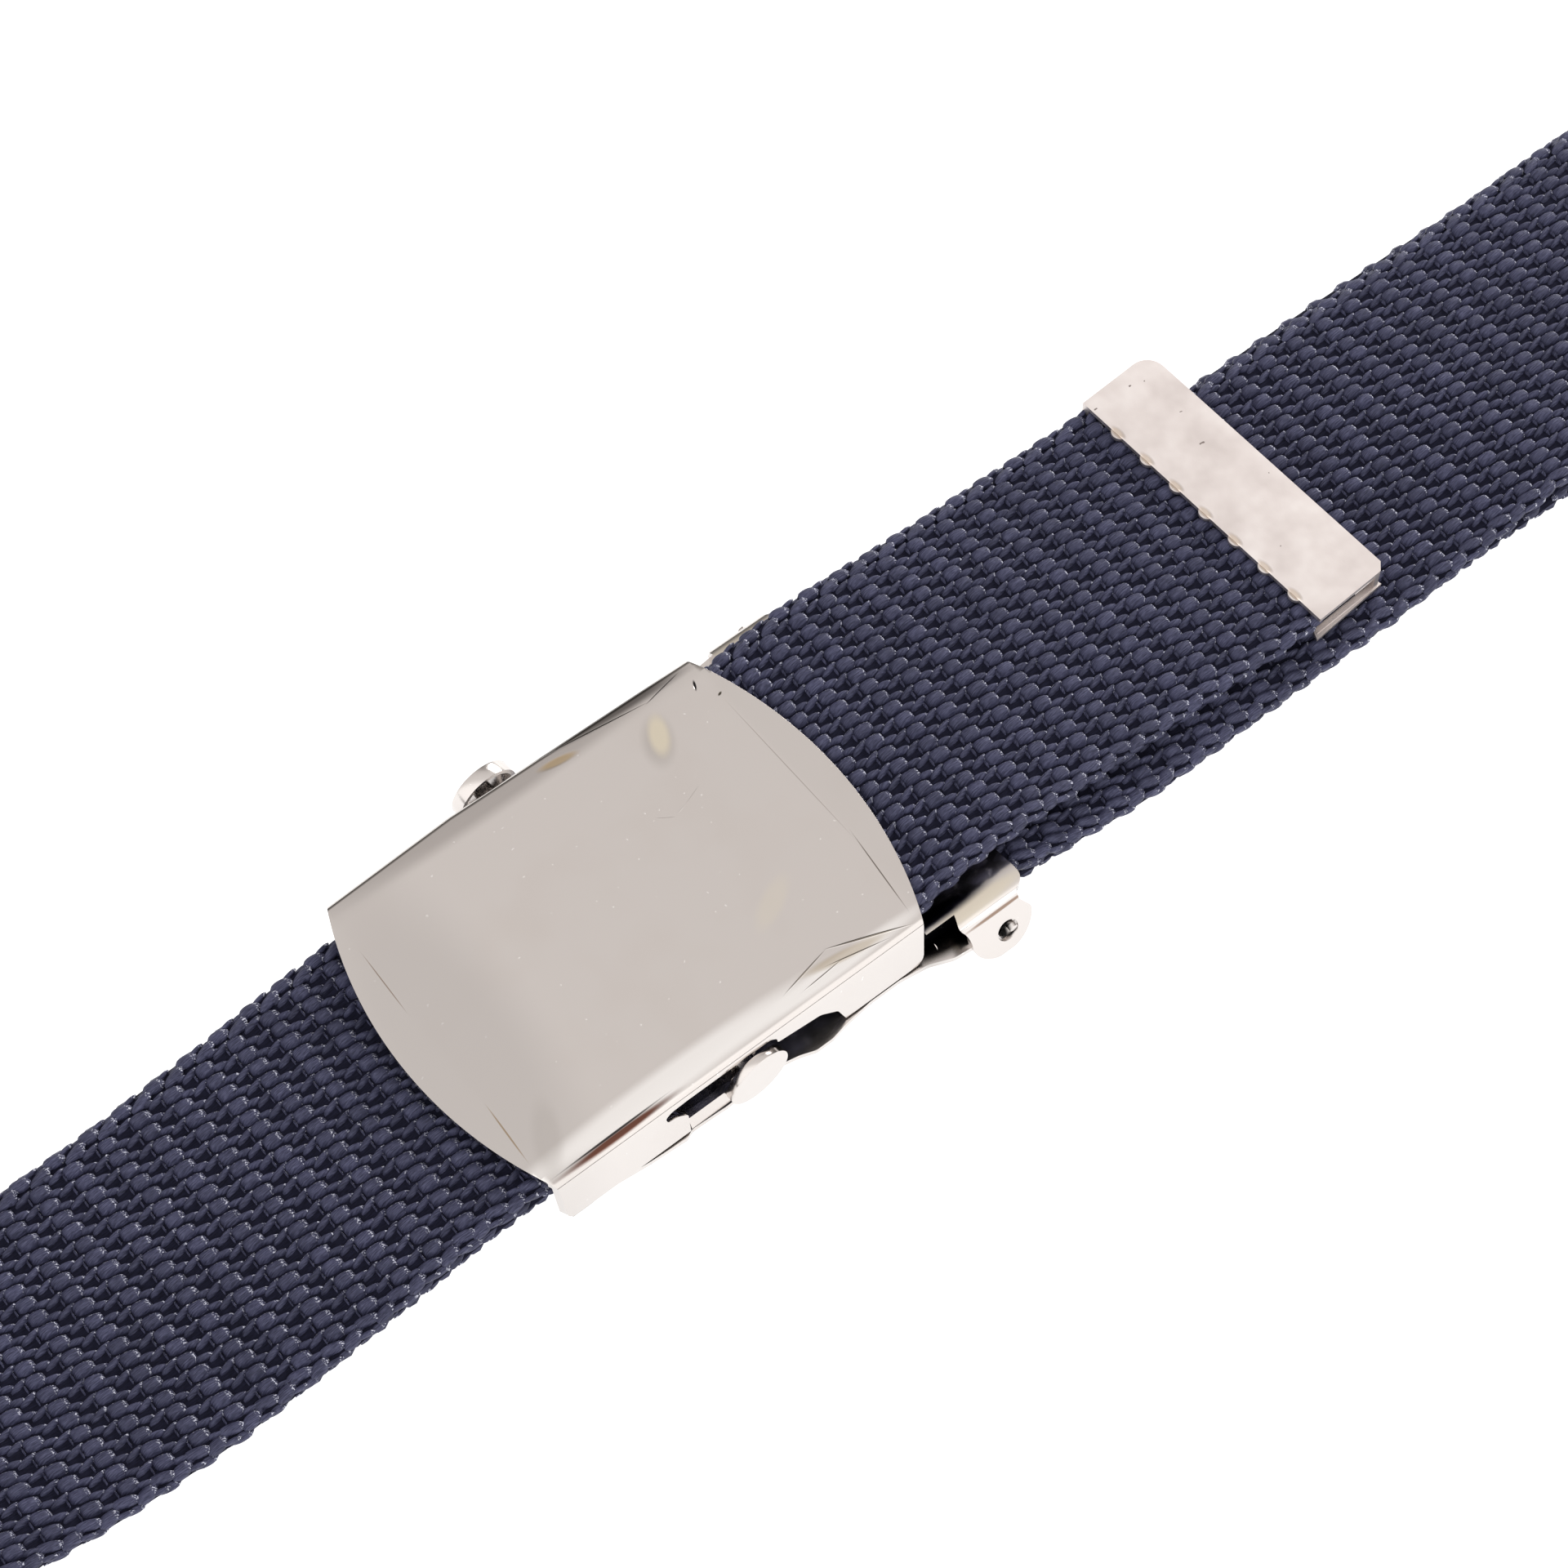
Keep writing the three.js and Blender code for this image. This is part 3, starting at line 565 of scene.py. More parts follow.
webLook = {
    "dark": (0.016, 0.0165, 0.034), "middle": (0.038, 0.039, 0.074), "light": (0.074, 0.076, 0.129),
    # core is darker than any yarn: the core's navy with painted shade for the pits between the floats
    "core": (0.007, 0.007, 0.013), "paintedGlint": (0.85, 0.87, 1.0), "sheen": (0.75, 0.78, 1.0, 1),
    "roughness": 0.46, "specular": 0.36, "coreRough": 0.8, "coreSpecular": 0.05,
    "fibres": (900, 9000, 1), "drift": (60, 60, 1), "sparkleSpecks": (4800, 5600, 1), "coreFibres": (900, 7000, 1),
    "bright": 0.72, "byYarn": 0.35, "byDrift": 0.45, "bySortShade": 0.45, "speckFrom": 0.56,
    # where a float gets a painted highlight, as if it caught the light: along it, and across it from rimFrom
    # on
    "farEnd": ((0.72, 0), (0.84, 0.75), (0.95, 0.3)), "farRim": ((0.52, 0), (0.66, 0.7), (0.84, 0.2)),
    "rimFrom": 0.38, "bump": 0.0001, "coreBump": 0.00005,
}


def yarnFinish():
    material, tree, shader = newMaterial("navyYarn")
    place = newNode(tree, "UVMap", uv_map="strapMap").outputs["UV"]
    tone = newNode(tree, "VertexColor", layer_name="yarnTone").outputs
    parts = newNode(tree, "SeparateColor", {"Color": tone["Color"]}).outputs
    fibres = noiseAt(tree, mapped(tree, place, webLook["fibres"]), 1.0, 3.0)
    drift = noiseAt(tree, mapped(tree, place, webLook["drift"]), 1.0, 3.0)
    sparkleSpecks = noiseAt(tree, mapped(tree, place, webLook["sparkleSpecks"]), 1.0, 1.0)
    colour = rampOf(tree, fibres, ((0.34, webLook["dark"]), (0.5, webLook["middle"]),
                                   (0.68, webLook["light"])))
    bright = plus(tree, times(tree, parts["Green"], webLook["byYarn"]), webLook["bright"])
    bright = plus(tree, bright, times(tree, drift, webLook["byDrift"]))
    # painted shade: the lower yarns are darkened by their sort
    bright = mathOf(tree, "SUBTRACT", bright, times(tree, parts["Blue"], webLook["bySortShade"]))
    colour = newNode(tree, "HueSaturation", {"Color": colour, "Value": bright}).outputs["Color"]
    farEnd = greyRamp(tree, parts["Red"], webLook["farEnd"])
    farRim = greyRamp(tree, tone["Alpha"], webLook["farRim"])
    farRim = times(tree, farRim, mathOf(tree, "GREATER_THAN", parts["Red"], webLook["rimFrom"]))
    # painted highlight: bright sparkle specks mixed into the yarn colour at the far end and far rim of each
    # float
    paintedGlint = times(tree, mathOf(tree, "GREATER_THAN", sparkleSpecks, webLook["speckFrom"]),
                  mathOf(tree, "MAXIMUM", farEnd, farRim))
    fillInputs(tree, shader, {"Base Color": mixedColour(tree, paintedGlint, colour, webLook["paintedGlint"]),
                              "Roughness": webLook["roughness"], "Specular IOR Level": webLook["specular"],
                              "Specular Tint": webLook["sheen"]})
    bumpInto(tree, shader, fibres, webLook["bump"])
    return material


def coreFinish():
    material, tree, shader = newMaterial("navyCore")
    place = newNode(tree, "UVMap", uv_map="strapMap").outputs["UV"]
    fibres = noiseAt(tree, mapped(tree, place, webLook["coreFibres"]), 1.0, 3.0)
    # the core's navy, set darker than the yarns as painted shade in the pits between the floats
    shadedThread = rampOf(tree, fibres, ((0.3, webLook["core"]), (0.7, webLook["dark"])))
    fillInputs(tree, shader, {"Base Color": shadedThread, "Roughness": webLook["coreRough"],
                              "Specular IOR Level": webLook["coreSpecular"]})
    bumpInto(tree, shader, fibres, webLook["coreBump"])
    return material


def addWebbing():
    yarn, core = yarnFinish(), coreFinish()
    sheet = coreSheet("webCore", core)
    stretches = (("frontWeave", frontFrom, strapLength, "fine"), ("fixedWeave", 0.0, fixedTo, "fine"),
                 ("loopWeave", fixedTo, frontFrom, "plain"))
    yarns = []
    for name, sFrom, sTo, grid in stretches:
        yarns.append(yarnsOver(name, sFrom, sTo, yarnGrids[grid], yarn))
        yarns.append(edgeKnots(name + "Edges", sFrom, sTo, yarnGrids[grid]["knot"], yarn))
    yarns.append(yarnsOver("backWeave", 0.0, strapLength, yarnGrids["back"], yarn, "back"))
    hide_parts("webbing")
    for piece in [sheet] + yarns:
        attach(piece, "root")
    return [sheet] + yarns


webPieces = addWebbing()
print("webbing is in:", sum(len(piece.data.polygons) for piece in webPieces), "faces")


# Helpers for modelling the metal pieces, with sizes in mm

clampPin = {"x": 33.4, "height": 3.2}
rimLook = {"merge": 0.01, "flat": 0.4, "sharp": 35.0, "smooth": 48.0, "segments": 2, "weight": 80}
cutReach = 24.0  # how far a cutting tool reaches across
halfOverlap = 0.5  # how far a half runs past the middle, where it meets its mirror image


def activate(piece):
    clearSelection()
    piece.select_set(True)
    bpy.context.view_layer.objects.active = piece


def named(name):
    piece = bpy.context.object
    piece.name = name
    bpy.ops.object.transform_apply(location=True, rotation=True, scale=True)
    return piece


def blockPiece(name, low, high):
    clearSelection()
    bpy.ops.mesh.primitive_cube_add(size=1, location=[(a + b) / 2 * mm for a, b in zip(low, high)])
    bpy.context.object.scale = [(b - a) * mm for a, b in zip(low, high)]
    return named(name)


def rodPiece(name, radius, middle, length, axis="Y", sides=64):
    clearSelection()
    turn = {"X": (0, math.pi / 2, 0), "Y": (math.pi / 2, 0, 0), "Z": (0, 0, 0)}[axis]
    bpy.ops.mesh.primitive_cylinder_add(vertices=sides, radius=radius * mm, depth=length * mm,
                                        location=[value * mm for value in middle], rotation=turn)
    return named(name)


def pick(piece, kind, test):
    # selects the faces, edges or corners whose middle, in mm, passes the test
    if bpy.context.mode != "OBJECT":
        bpy.ops.object.mode_set(mode="OBJECT")
    mesh = piece.data
    for part in (mesh.vertices, mesh.edges, mesh.polygons):
        part.foreach_set("select", np.zeros(len(part), dtype=bool))
    places = np.array([vertex.co for vertex in mesh.vertices]) / mm
    if kind == "corners":
        for vertex in mesh.vertices:
            vertex.select = bool(test(places[vertex.index]))
    elif kind == "edges":
        for edge in mesh.edges:
            edge.select = all(test(places[corner]) for corner in edge.vertices)
    else:
        for face in mesh.polygons:
            face.select = bool(test(np.array(face.center) / mm, face.normal))
    bpy.context.view_layer.objects.active = piece
    bpy.ops.object.mode_set(mode="EDIT")
    bpy.ops.mesh.select_mode(type={"corners": "VERT", "edges": "EDGE", "faces": "FACE"}[kind])


def pickAll(piece):
    pick(piece, "corners", lambda place: True)


def finishEdit():
    bpy.ops.object.mode_set(mode="OBJECT")


def moved(offset):
    bpy.ops.transform.translate(value=[reach * mm for reach in offset])


def turned(degrees, axis, centre=(0, 0, 0)):
    # the operator turns the other way round here, hence the minus
    bpy.ops.transform.rotate(value=-math.radians(degrees), orient_axis=axis,
                             center_override=[place * mm for place in centre])


def applied(piece, kind, **settings):
    activate(piece)
    modifier = piece.modifiers.new(kind.title(), kind)
    for key, value in settings.items():
        setattr(modifier, key, value)
    bpy.ops.object.modifier_apply(modifier=modifier.name)
    return piece


def cutBy(piece, tool, operation="DIFFERENCE"):
    applied(piece, "BOOLEAN", operation=operation, solver="MANIFOLD", object=tool)
    bpy.data.objects.remove(tool, do_unlink=True)
    return piece


def joinedTo(piece, part):
    return cutBy(piece, part, "UNION")


def outlineTool(name, outline, axis, start, end, corner=0.0):
    # a solid drawn from a closed outline in the two other axes, its corners rounded
    clearSelection()
    bpy.ops.mesh.primitive_circle_add(vertices=len(outline), radius=1, fill_type="NGON")
    tool = named(name)
    for vertex, (a, b) in zip(tool.data.vertices, outline):
        vertex.co = {"X": (start, a, b), "Y": (a, start, b), "Z": (a, b, start)}[axis]
        vertex.co *= mm
    pickAll(tool)
    if corner:
        bpy.ops.mesh.bevel(offset=corner * mm, segments=5, affect="VERTICES")
    bpy.ops.mesh.select_all(action="SELECT")
    reach = (end - start) * mm
    bpy.ops.mesh.extrude_region_move(TRANSFORM_OT_translate={
        "value": {"X": (reach, 0, 0), "Y": (0, reach, 0), "Z": (0, 0, reach)}[axis]})
    bpy.ops.mesh.select_all(action="SELECT")
    bpy.ops.mesh.normals_make_consistent(inside=False)
    finishEdit()
    return tool


def foldedStrip(name, spanX, foot, turns, top, mirrored=True):
    # half of a folded sheet: flat at first, then turned down by each row of length, degrees and steps
    heading, steps = 0.0, []
    for length, degrees, count in turns:
        for step in range(count):
            heading += math.radians(degrees) / count / 2
            steps.append((length / count * math.cos(heading), length / count * math.sin(heading)))
            heading += math.radians(degrees) / count / 2
    flat = foot - sum(reach for reach, drop in steps)
    inner = 0 if mirrored else -halfOverlap
    clearSelection()
    middle = (sum(spanX) / 2 * mm, (flat + inner) / 2 * mm, top * mm)
    bpy.ops.mesh.primitive_plane_add(size=1, location=middle)
    bpy.context.object.scale = ((spanX[1] - spanX[0]) * mm, (flat - inner) * mm, 1)
    strip = named(name)
    pick(strip, "edges", lambda place: place[1] > flat - 0.01)
    for reach, drop in steps:
        bpy.ops.mesh.extrude_region_move(TRANSFORM_OT_translate={"value": (0, reach * mm, -drop * mm)})
    finishEdit()
    if mirrored:
        applied(strip, "MIRROR", use_axis=(False, True, False), use_clip=True,
                merge_threshold=rimLook["merge"] * mm)
    return strip


def rimmed(piece, width, limit=rimLook["sharp"]):
    # small rounds along the sheet's cut edges, which catch the light
    activate(piece)
    bpy.ops.object.mode_set(mode="EDIT")
    bpy.ops.mesh.select_all(action="SELECT")
    bpy.ops.mesh.remove_doubles(threshold=rimLook["merge"] * mm)
    bpy.ops.mesh.dissolve_limited(angle_limit=math.radians(rimLook["flat"]))
    finishEdit()
    applied(piece, "BEVEL", width=width * mm, segments=rimLook["segments"], limit_method="ANGLE",
            angle_limit=math.radians(limit), harden_normals=False, use_clamp_overlap=True)
    activate(piece)
    bpy.ops.object.shade_smooth_by_angle(angle=math.radians(rimLook["smooth"]))
    return applied(piece, "WEIGHTED_NORMAL", mode="FACE_AREA", weight=rimLook["weight"], keep_sharp=True)


def seated(piece, node, material):
    piece.data.materials.clear()
    piece.data.materials.append(material)
    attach(piece, "root")
    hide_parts(node)
    print(node, "is in:", len(piece.data.polygons), "faces")


# Buckle case

caseShape = {
    "sheet": 0.8, "half": 24.0, "width": 40.6, "bulge": 4.5, "wall": 7.9, "flare": 0.7,
    "shoulder": 2.4, "shoulderTurn": 7.0, "foldRadius": 0.9, "rim": 0.13,
    "endDrop": 0.25, "endRun": 0.8, "endShare": 0.08,
    "kinkX": -7.6, "farOut": 0.25, "farBow": 0.65,
    # the slot of the bar and the window beside it, as x and depth below the face
    "window": ((-10.4, 1.9), (-9.6, 1.35), (-7.6, 1.2), (3.4, 1.2), (4.2, 1.9), (4.2, 2.7), (9.9, 3.5),
               (12.1, 5.2), (13.8, 10.0), (-7.7, 10.0), (-7.7, 4.2), (-8.8, 3.2), (-10.2, 2.9)),
    "windowCorner": 0.3, "footCorner": 1.3, "wallEnd": 23.66,
    "lip": (-23.1, -20.4), "lipInside": 17.9, "lipOutside": 20.9, "lipBelow": 0.3, "lipAbove": 0.4,
}


def modelCase():
    half, top, width, bulge = caseShape["half"], faceTop, caseShape["width"], caseShape["bulge"]
    endRun, kinkX = caseShape["endRun"], caseShape["kinkX"]
    flareAngle = math.degrees(math.atan2(caseShape["flare"], caseShape["wall"]))
    foldTurn = 90 - flareAngle - caseShape["shoulderTurn"]
    foldLength = caseShape["foldRadius"] * math.radians(foldTurn)
    wallLength = caseShape["wall"] - caseShape["foldRadius"] - 0.1
    reach = half + bulge + 1
    turns = ((caseShape["shoulder"], caseShape["shoulderTurn"], 6), (foldLength, foldTurn, 7),
             (wallLength, 0, 1))
    case = foldedStrip("buckleCase", (-reach, reach), width / 2 + caseShape["flare"], turns, top)
    for x in (-half - endRun, -half, kinkX, half, half + endRun):
        pickAll(case)
        bpy.ops.mesh.bisect(plane_co=(x * mm, 0, 0), plane_no=(1, 0, 0))
        finishEdit()
    # the curved ends drop a little, and the far wall bows out by the kink
    pick(case, "corners", lambda place: abs(place[0]) > half + 1)
    moved((0, 0, -caseShape["endDrop"]))
    pick(case, "corners", lambda place: abs(abs(place[0]) - half - endRun) < 0.1)
    moved((0, 0, -caseShape["endDrop"] * caseShape["endShare"]))
    pick(case, "corners", lambda place: place[1] > half / 2)
    moved((0, caseShape["farOut"], 0))
    pick(case, "corners", lambda place: place[1] > half / 2 and abs(place[0] - kinkX) < 0.1)
    moved((0, caseShape["farBow"], 0))
    finishEdit()
    applied(case, "SOLIDIFY", thickness=caseShape["sheet"] * mm, offset=-1, use_even_offset=True)
    radius = ((width / 2) ** 2 + bulge ** 2) / (2 * bulge)
    for sign in (-1, 1):
        middle = sign * (half + bulge - radius)
        cutBy(case, rodPiece("endRound", radius, (middle, 0, top - 4), 20, "Z", 320), "INTERSECT")
    window = [(x, top - depth) for x, depth in caseShape["window"]]
    cutBy(case, outlineTool("windowTool", window, "Y", -cutReach, cutReach, caseShape["windowCorner"]))
    foot, footCorner, wallEnd = top - caseShape["wall"], caseShape["footCorner"], caseShape["wallEnd"]
    for sign in (-1, 1):
        corner = [(sign * (wallEnd + 1), foot + footCorner), (sign * (wallEnd + 1), foot - 1),
                  (sign * (wallEnd - footCorner), foot - 1)]
        corner += [(sign * (wallEnd - footCorner + footCorner * math.sin(turn)),
                    foot + footCorner - footCorner * math.cos(turn))
                   for turn in np.linspace(0, math.pi / 2, 9)]
        cutBy(case, outlineTool("cornerTool", corner, "Y", -cutReach, cutReach))
    lipFrom, lipTo = caseShape["lip"]
    for side in (-1, 1):
        low, high = sorted((side * caseShape["lipInside"], side * caseShape["lipOutside"]))
        joinedTo(case, blockPiece("lip", (lipFrom, low, foot - caseShape["lipBelow"]),
                                  (lipTo, high, foot + caseShape["lipAbove"])))
    return rimmed(case, caseShape["rim"])


# Base channel: the floor plate whose edge shows below the walls, its leaning sides and the clamp's lugs

baseShape = {
    "bottom": 3.1, "sheet": 0.8, "rim": 0.1, "plateCorner": 0.25,
    # near half of the plate, as x and y
    "edge": ((-17.6, 19.6), (-17.0, 20.6), (-13.0, 21.0), (-8.4, 21.25), (-7.4, 20.8), (-3.0, 21.0),
             (4.6, 20.8), (6.6, 21.2), (8.4, 21.85), (10.6, 21.85), (12.8, 21.4), (16.4, 21.0),
             (20.4, 21.0), (23.9, 21.5), (26.6, 22.6), (29.5, 22.9), (35.8, 22.9)),
    "sideFrom": -7.4, "sideTo": 3.2, "sideTop": 5.4, "sideFoot": 20.95, "sideHead": 20.15, "sideSink": 0.3,
    "lugRadius": 2.3, "lugY": 21.9, "boreRadius": 1.3,
}


def modelBase():
    low, sheet, sideTop = baseShape["bottom"], baseShape["sheet"], baseShape["sideTop"]
    pinX, pinHeight = clampPin["x"], clampPin["height"]
    edge = list(baseShape["edge"])
    outline = [(x, -y) for x, y in edge] + edge[::-1]
    base = outlineTool("baseChannel", outline, "Z", low, low + sheet, baseShape["plateCorner"])
    for side in (-1, 1):
        foot, head = side * baseShape["sideFoot"], side * baseShape["sideHead"]
        sink = low + baseShape["sideSink"]
        section = [(foot, sink), (head, sideTop), (head - side * sheet, sideTop), (foot - side * sheet, sink)]
        joinedTo(base, outlineTool("baseSide", section, "X", baseShape["sideFrom"], baseShape["sideTo"]))
        lugY = side * (baseShape["lugY"] - sheet / 2)
        joinedTo(base, rodPiece("lug", baseShape["lugRadius"], (pinX, lugY, pinHeight), sheet, sides=40))
        cutBy(base, rodPiece("bore", baseShape["boreRadius"], (pinX, lugY, pinHeight), 4, sides=32))
    return rimmed(base, baseShape["rim"])


# Slide bar with a dished round head at each end

barShape = {
    "x": -0.2, "radius": 1.7, "neck": 1.1, "neckShort": 0.6, "headRadius": 3.85, "headThick": 0.95,
    "near": -21.65, "far": 24.4, "farThick": 1.6, "dish": 0.5, "farDish": 1.15, "dishRim": 0.5,
    "dishSlope": 0.3, "crown": 0.05, "shift": 0.5, "skew": 3.2, "rim": 0.2, "rimSharp": 50.0,
}


def modelBar():
    near, far, slope = barShape["near"], barShape["far"], barShape["dishSlope"]
    bar = rodPiece("slideBar", barShape["radius"], (0, barShape["shift"], barHeight), strap["width"] + 1)
    neck = rodPiece("neck", barShape["neck"], (0, (near + far) / 2, barHeight),
                    far - near - barShape["neckShort"], sides=32)
    for side, outside, thick, dish in ((-1, near, barShape["headThick"], barShape["dish"]),
                                       (1, far, barShape["farThick"], barShape["farDish"])):
        middle = (0, outside - side * thick / 2, barHeight)
        head = rodPiece("barHead", barShape["headRadius"], middle, thick, sides=80)
        pick(head, "faces", lambda place, normal: normal[1] * side < -0.9)
        bpy.ops.mesh.inset(thickness=barShape["dishRim"] * mm)
        bpy.ops.mesh.inset(thickness=slope * mm)
        moved((0, side * dish, 0))
        pick(head, "faces", lambda place, normal: normal[1] * side > 0.9)
        bpy.ops.mesh.inset(thickness=slope * mm)
        moved((0, side * barShape["crown"], 0))
        finishEdit()
        joinedTo(bar, head)
    joinedTo(bar, neck)
    pickAll(bar)
    turned(barShape["skew"], "Z")
    moved((barShape["x"], 0, 0))
    finishEdit()
    return rimmed(bar, barShape["rim"], barShape["rimSharp"])


# Clamp jaw: a plate over the strap's end, turned down at both sides into round flared ears

jawShape = {
    "sheet": 0.8, "from": 24.7, "to": 37.2, "half": 22.2, "valley": 1.6, "slope": 13.0, "slopeLength": 2.2,
    "crest": 2.4, "crestTurn": 23.0, "foldRadius": 1.1, "sink": 0.55, "rim": 0.13, "hole": 1.35,
    "archFrom": 23.9, "archTo": 28.8, "archTop": 0.25, "archTurn": 35.0, "archLength": 7.0, "archBack": 1.5,
    "earFlare": 20.0, "earLength": 6.9, "footShort": 0.5, "earFrom": 28.7, "earTo": 36.9, "earShort": 0.65,
    "corner": 1.5, "cornerTurn": 1.4, "cornerBack": 0.7, "notch": 0.7,
    # the notch between the plate's rounded corner and the ear, as steps from the plate's edge and the fold
    "notchSteps": ((-1.6, -0.4), (-1.5, 0.1)), "earStep": 0.8,
}


def earOutline():
    # the jaw from the side: a plate's edge and the round ear
    jawFrom, jawTo, earFrom, earTo = (jawShape[key] for key in ("from", "to", "earFrom", "earTo"))
    earRadius = (earTo - earFrom) / 2
    earDrop = jawShape["earShort"] + jawShape["earLength"] * math.cos(math.radians(jawShape["earFlare"]))
    earX, earZ = earFrom + earRadius, jawTop - earDrop + earRadius
    notchZ = jawTop - jawShape["notch"]
    plate = [(jawFrom - 1, jawTop + 1), (jawFrom - 1, jawTop - 3), (earFrom, jawTop - 3)]
    ear = [(earX + earRadius * math.cos(turn), earZ + earRadius * math.sin(turn))
           for turn in np.linspace(math.pi, 2 * math.pi, 33)]
    back = [(earTo, notchZ - 0.5), (earTo - 0.3, notchZ), (jawTo + 1, notchZ), (jawTo + 1, jawTop + 1)]
    return plate + ear + back


def jawPlan():
    # half of the jaw from above, with a rounded corner and the notch before the ear
    jawFrom, edge, fold, corner = (jawShape[key] for key in ("from", "to", "half", "corner"))
    plan = [(jawFrom - 2, -2), (edge, -2)]
    plan += [(edge - corner + corner * math.cos(turn),
              fold - corner - jawShape["cornerBack"] + corner * math.sin(turn))
             for turn in np.linspace(0, jawShape["cornerTurn"], 10)]
    plan += [(edge + stepX, fold + stepY) for stepX, stepY in jawShape["notchSteps"]]
    plan += [(jawShape["earTo"], fold + jawShape["earStep"]), (jawShape["earTo"], 30), (jawFrom - 2, 30)]
    return plan


def cutArch(jaw):
    # the arched window beside the case is cut through the bend
    radius = (jawShape["archTo"] - jawShape["archFrom"]) / 2
    x, y, z = jawShape["archFrom"] + radius, jawShape["half"], jawTop - jawShape["archTop"] - radius
    arch = rodPiece("archTool", radius, (x, y, z), jawShape["archLength"], sides=64)
    pickAll(arch)
    turned(-jawShape["archTurn"], "X", (x, y, z))
    finishEdit()
    cutBy(jaw, arch)
    cutBy(jaw, blockPiece("archLegs", (x - radius, y - jawShape["archBack"], z - 8), (x + radius, y + 6, z)))


def modelJaw():
    # the plate is sunk in the middle, rises to a crest on each side and is folded down into the ear
    foldTurn = 90 - jawShape["earFlare"] - jawShape["crestTurn"] + jawShape["slope"]
    foldLength = jawShape["foldRadius"] * math.radians(foldTurn)
    turns = ((jawShape["valley"], -jawShape["slope"], 4), (jawShape["slopeLength"], 0, 1),
             (jawShape["crest"], jawShape["crestTurn"], 10), (foldLength, foldTurn, 6),
             (jawShape["earLength"], 0, 1))
    footLength = jawShape["earLength"] - jawShape["footShort"]
    foot = jawShape["half"] + footLength * math.sin(math.radians(jawShape["earFlare"]))
    jaw = foldedStrip("clampJaw", (jawShape["from"], jawShape["to"]), foot, turns,
                      jawTop - jawShape["sink"], mirrored=False)
    applied(jaw, "SOLIDIFY", thickness=jawShape["sheet"] * mm, offset=-1, use_even_offset=True)
    cutBy(jaw, outlineTool("earTool", earOutline(), "Y", -1, 30), "INTERSECT")
    pinAt = (clampPin["x"], cutReach, clampPin["height"])
    cutBy(jaw, rodPiece("pinHole", jawShape["hole"], pinAt, 8, sides=48))
    cutArch(jaw)
    cutBy(jaw, outlineTool("planTool", jawPlan(), "Z", -3, 12), "INTERSECT")
    activate(jaw)
    bpy.ops.object.duplicate()
    other = bpy.context.object
    pickAll(other)
    bpy.ops.transform.mirror(constraint_axis=(False, True, False), center_override=(0, 0, 0))
    bpy.ops.mesh.select_all(action="SELECT")
    bpy.ops.mesh.normals_make_consistent(inside=False)
    finishEdit()
    joinedTo(jaw, other)
    return rimmed(jaw, jawShape["rim"])


# Rivets: each fills its hole, with a stub bent over at one side

rivetShape = {
    "radius": 1.12, "inside": 20.3, "outside": 23.25, "dishRim": 0.2, "dish": 0.5, "rim": 0.1,
    "rimSharp": 50.0, "headRadius": 1.6, "head": 0.4, "headOver": 0.1,
    "stubRadius": 0.5, "stubX": 0.55, "stubZ": 0.25, "stubOut": 0.45, "stubLength": 1.4,
}


def modelRivet(name, side):
    x, height = clampPin["x"], clampPin["height"]
    inside, outside = rivetShape["inside"], rivetShape["outside"]
    rivet = rodPiece(name, rivetShape["radius"], (x, side * (inside + outside) / 2, height),
                     outside - inside, sides=32)
    pick(rivet, "faces", lambda place, normal: normal[1] * side > 0.9)
    bpy.ops.mesh.inset(thickness=rivetShape["dishRim"] * mm)
    moved((0, -side * rivetShape["dish"], 0))
    finishEdit()
    headY = side * (inside - rivetShape["head"] / 2 + rivetShape["headOver"])
    joinedTo(rivet, rodPiece("rivetHead", rivetShape["headRadius"], (x, headY, height),
                             rivetShape["head"], sides=32))
    stubLength = rivetShape["stubLength"]
    stubAt = (x + rivetShape["stubX"], side * (outside + rivetShape["stubOut"] - stubLength / 2),
              height + rivetShape["stubZ"])
    joinedTo(rivet, rodPiece("rivetStub", rivetShape["stubRadius"], stubAt, stubLength, sides=24))
    return rimmed(rivet, rivetShape["rim"], rivetShape["rimSharp"])


# Metal tip: sheet folded round the tail's end and crimped along its inner edge

tipShape = {
    "length": 10.3, "width": 38.0, "half": 1.8, "sheet": 0.6, "skew": 3.0, "tip": 91.85, "y": 1.5,
    "rim": 0.16, "farCorner": 2.4, "nearCorner": 0.9, "endWall": 1.6, "farWall": 1.0,
    "teeth": 7, "toothOut": 0.46, "toothRadius": 1.05, "toothThin": 0.1, "teethFrom": 4.2, "teethShort": 5.0,
    "wall": ((0.3, 0.7), (1.0, 1.1)), "wallFoot": -0.9, "wallOver": 0.05,
    "layers": 4, "layerStep": 0.42, "layerTop": 0.25, "layerShare": 0.4, "ribX": -0.35, "ribY": 0.58,
    "ribShort": 1.3, "flareOut": 0.5, "flareThick": 0.45,
}


def lowerPlateOutline(end, half, flare):
    # the lower plate stands out at the near end
    return [(-end + 0.2, -half + 1.2), (-end - 0.5, -half - flare), (-end + 0.3, -half - flare),
            (end - 0.4, -half - 0.15), (end - 0.6, -half + 1.2)]


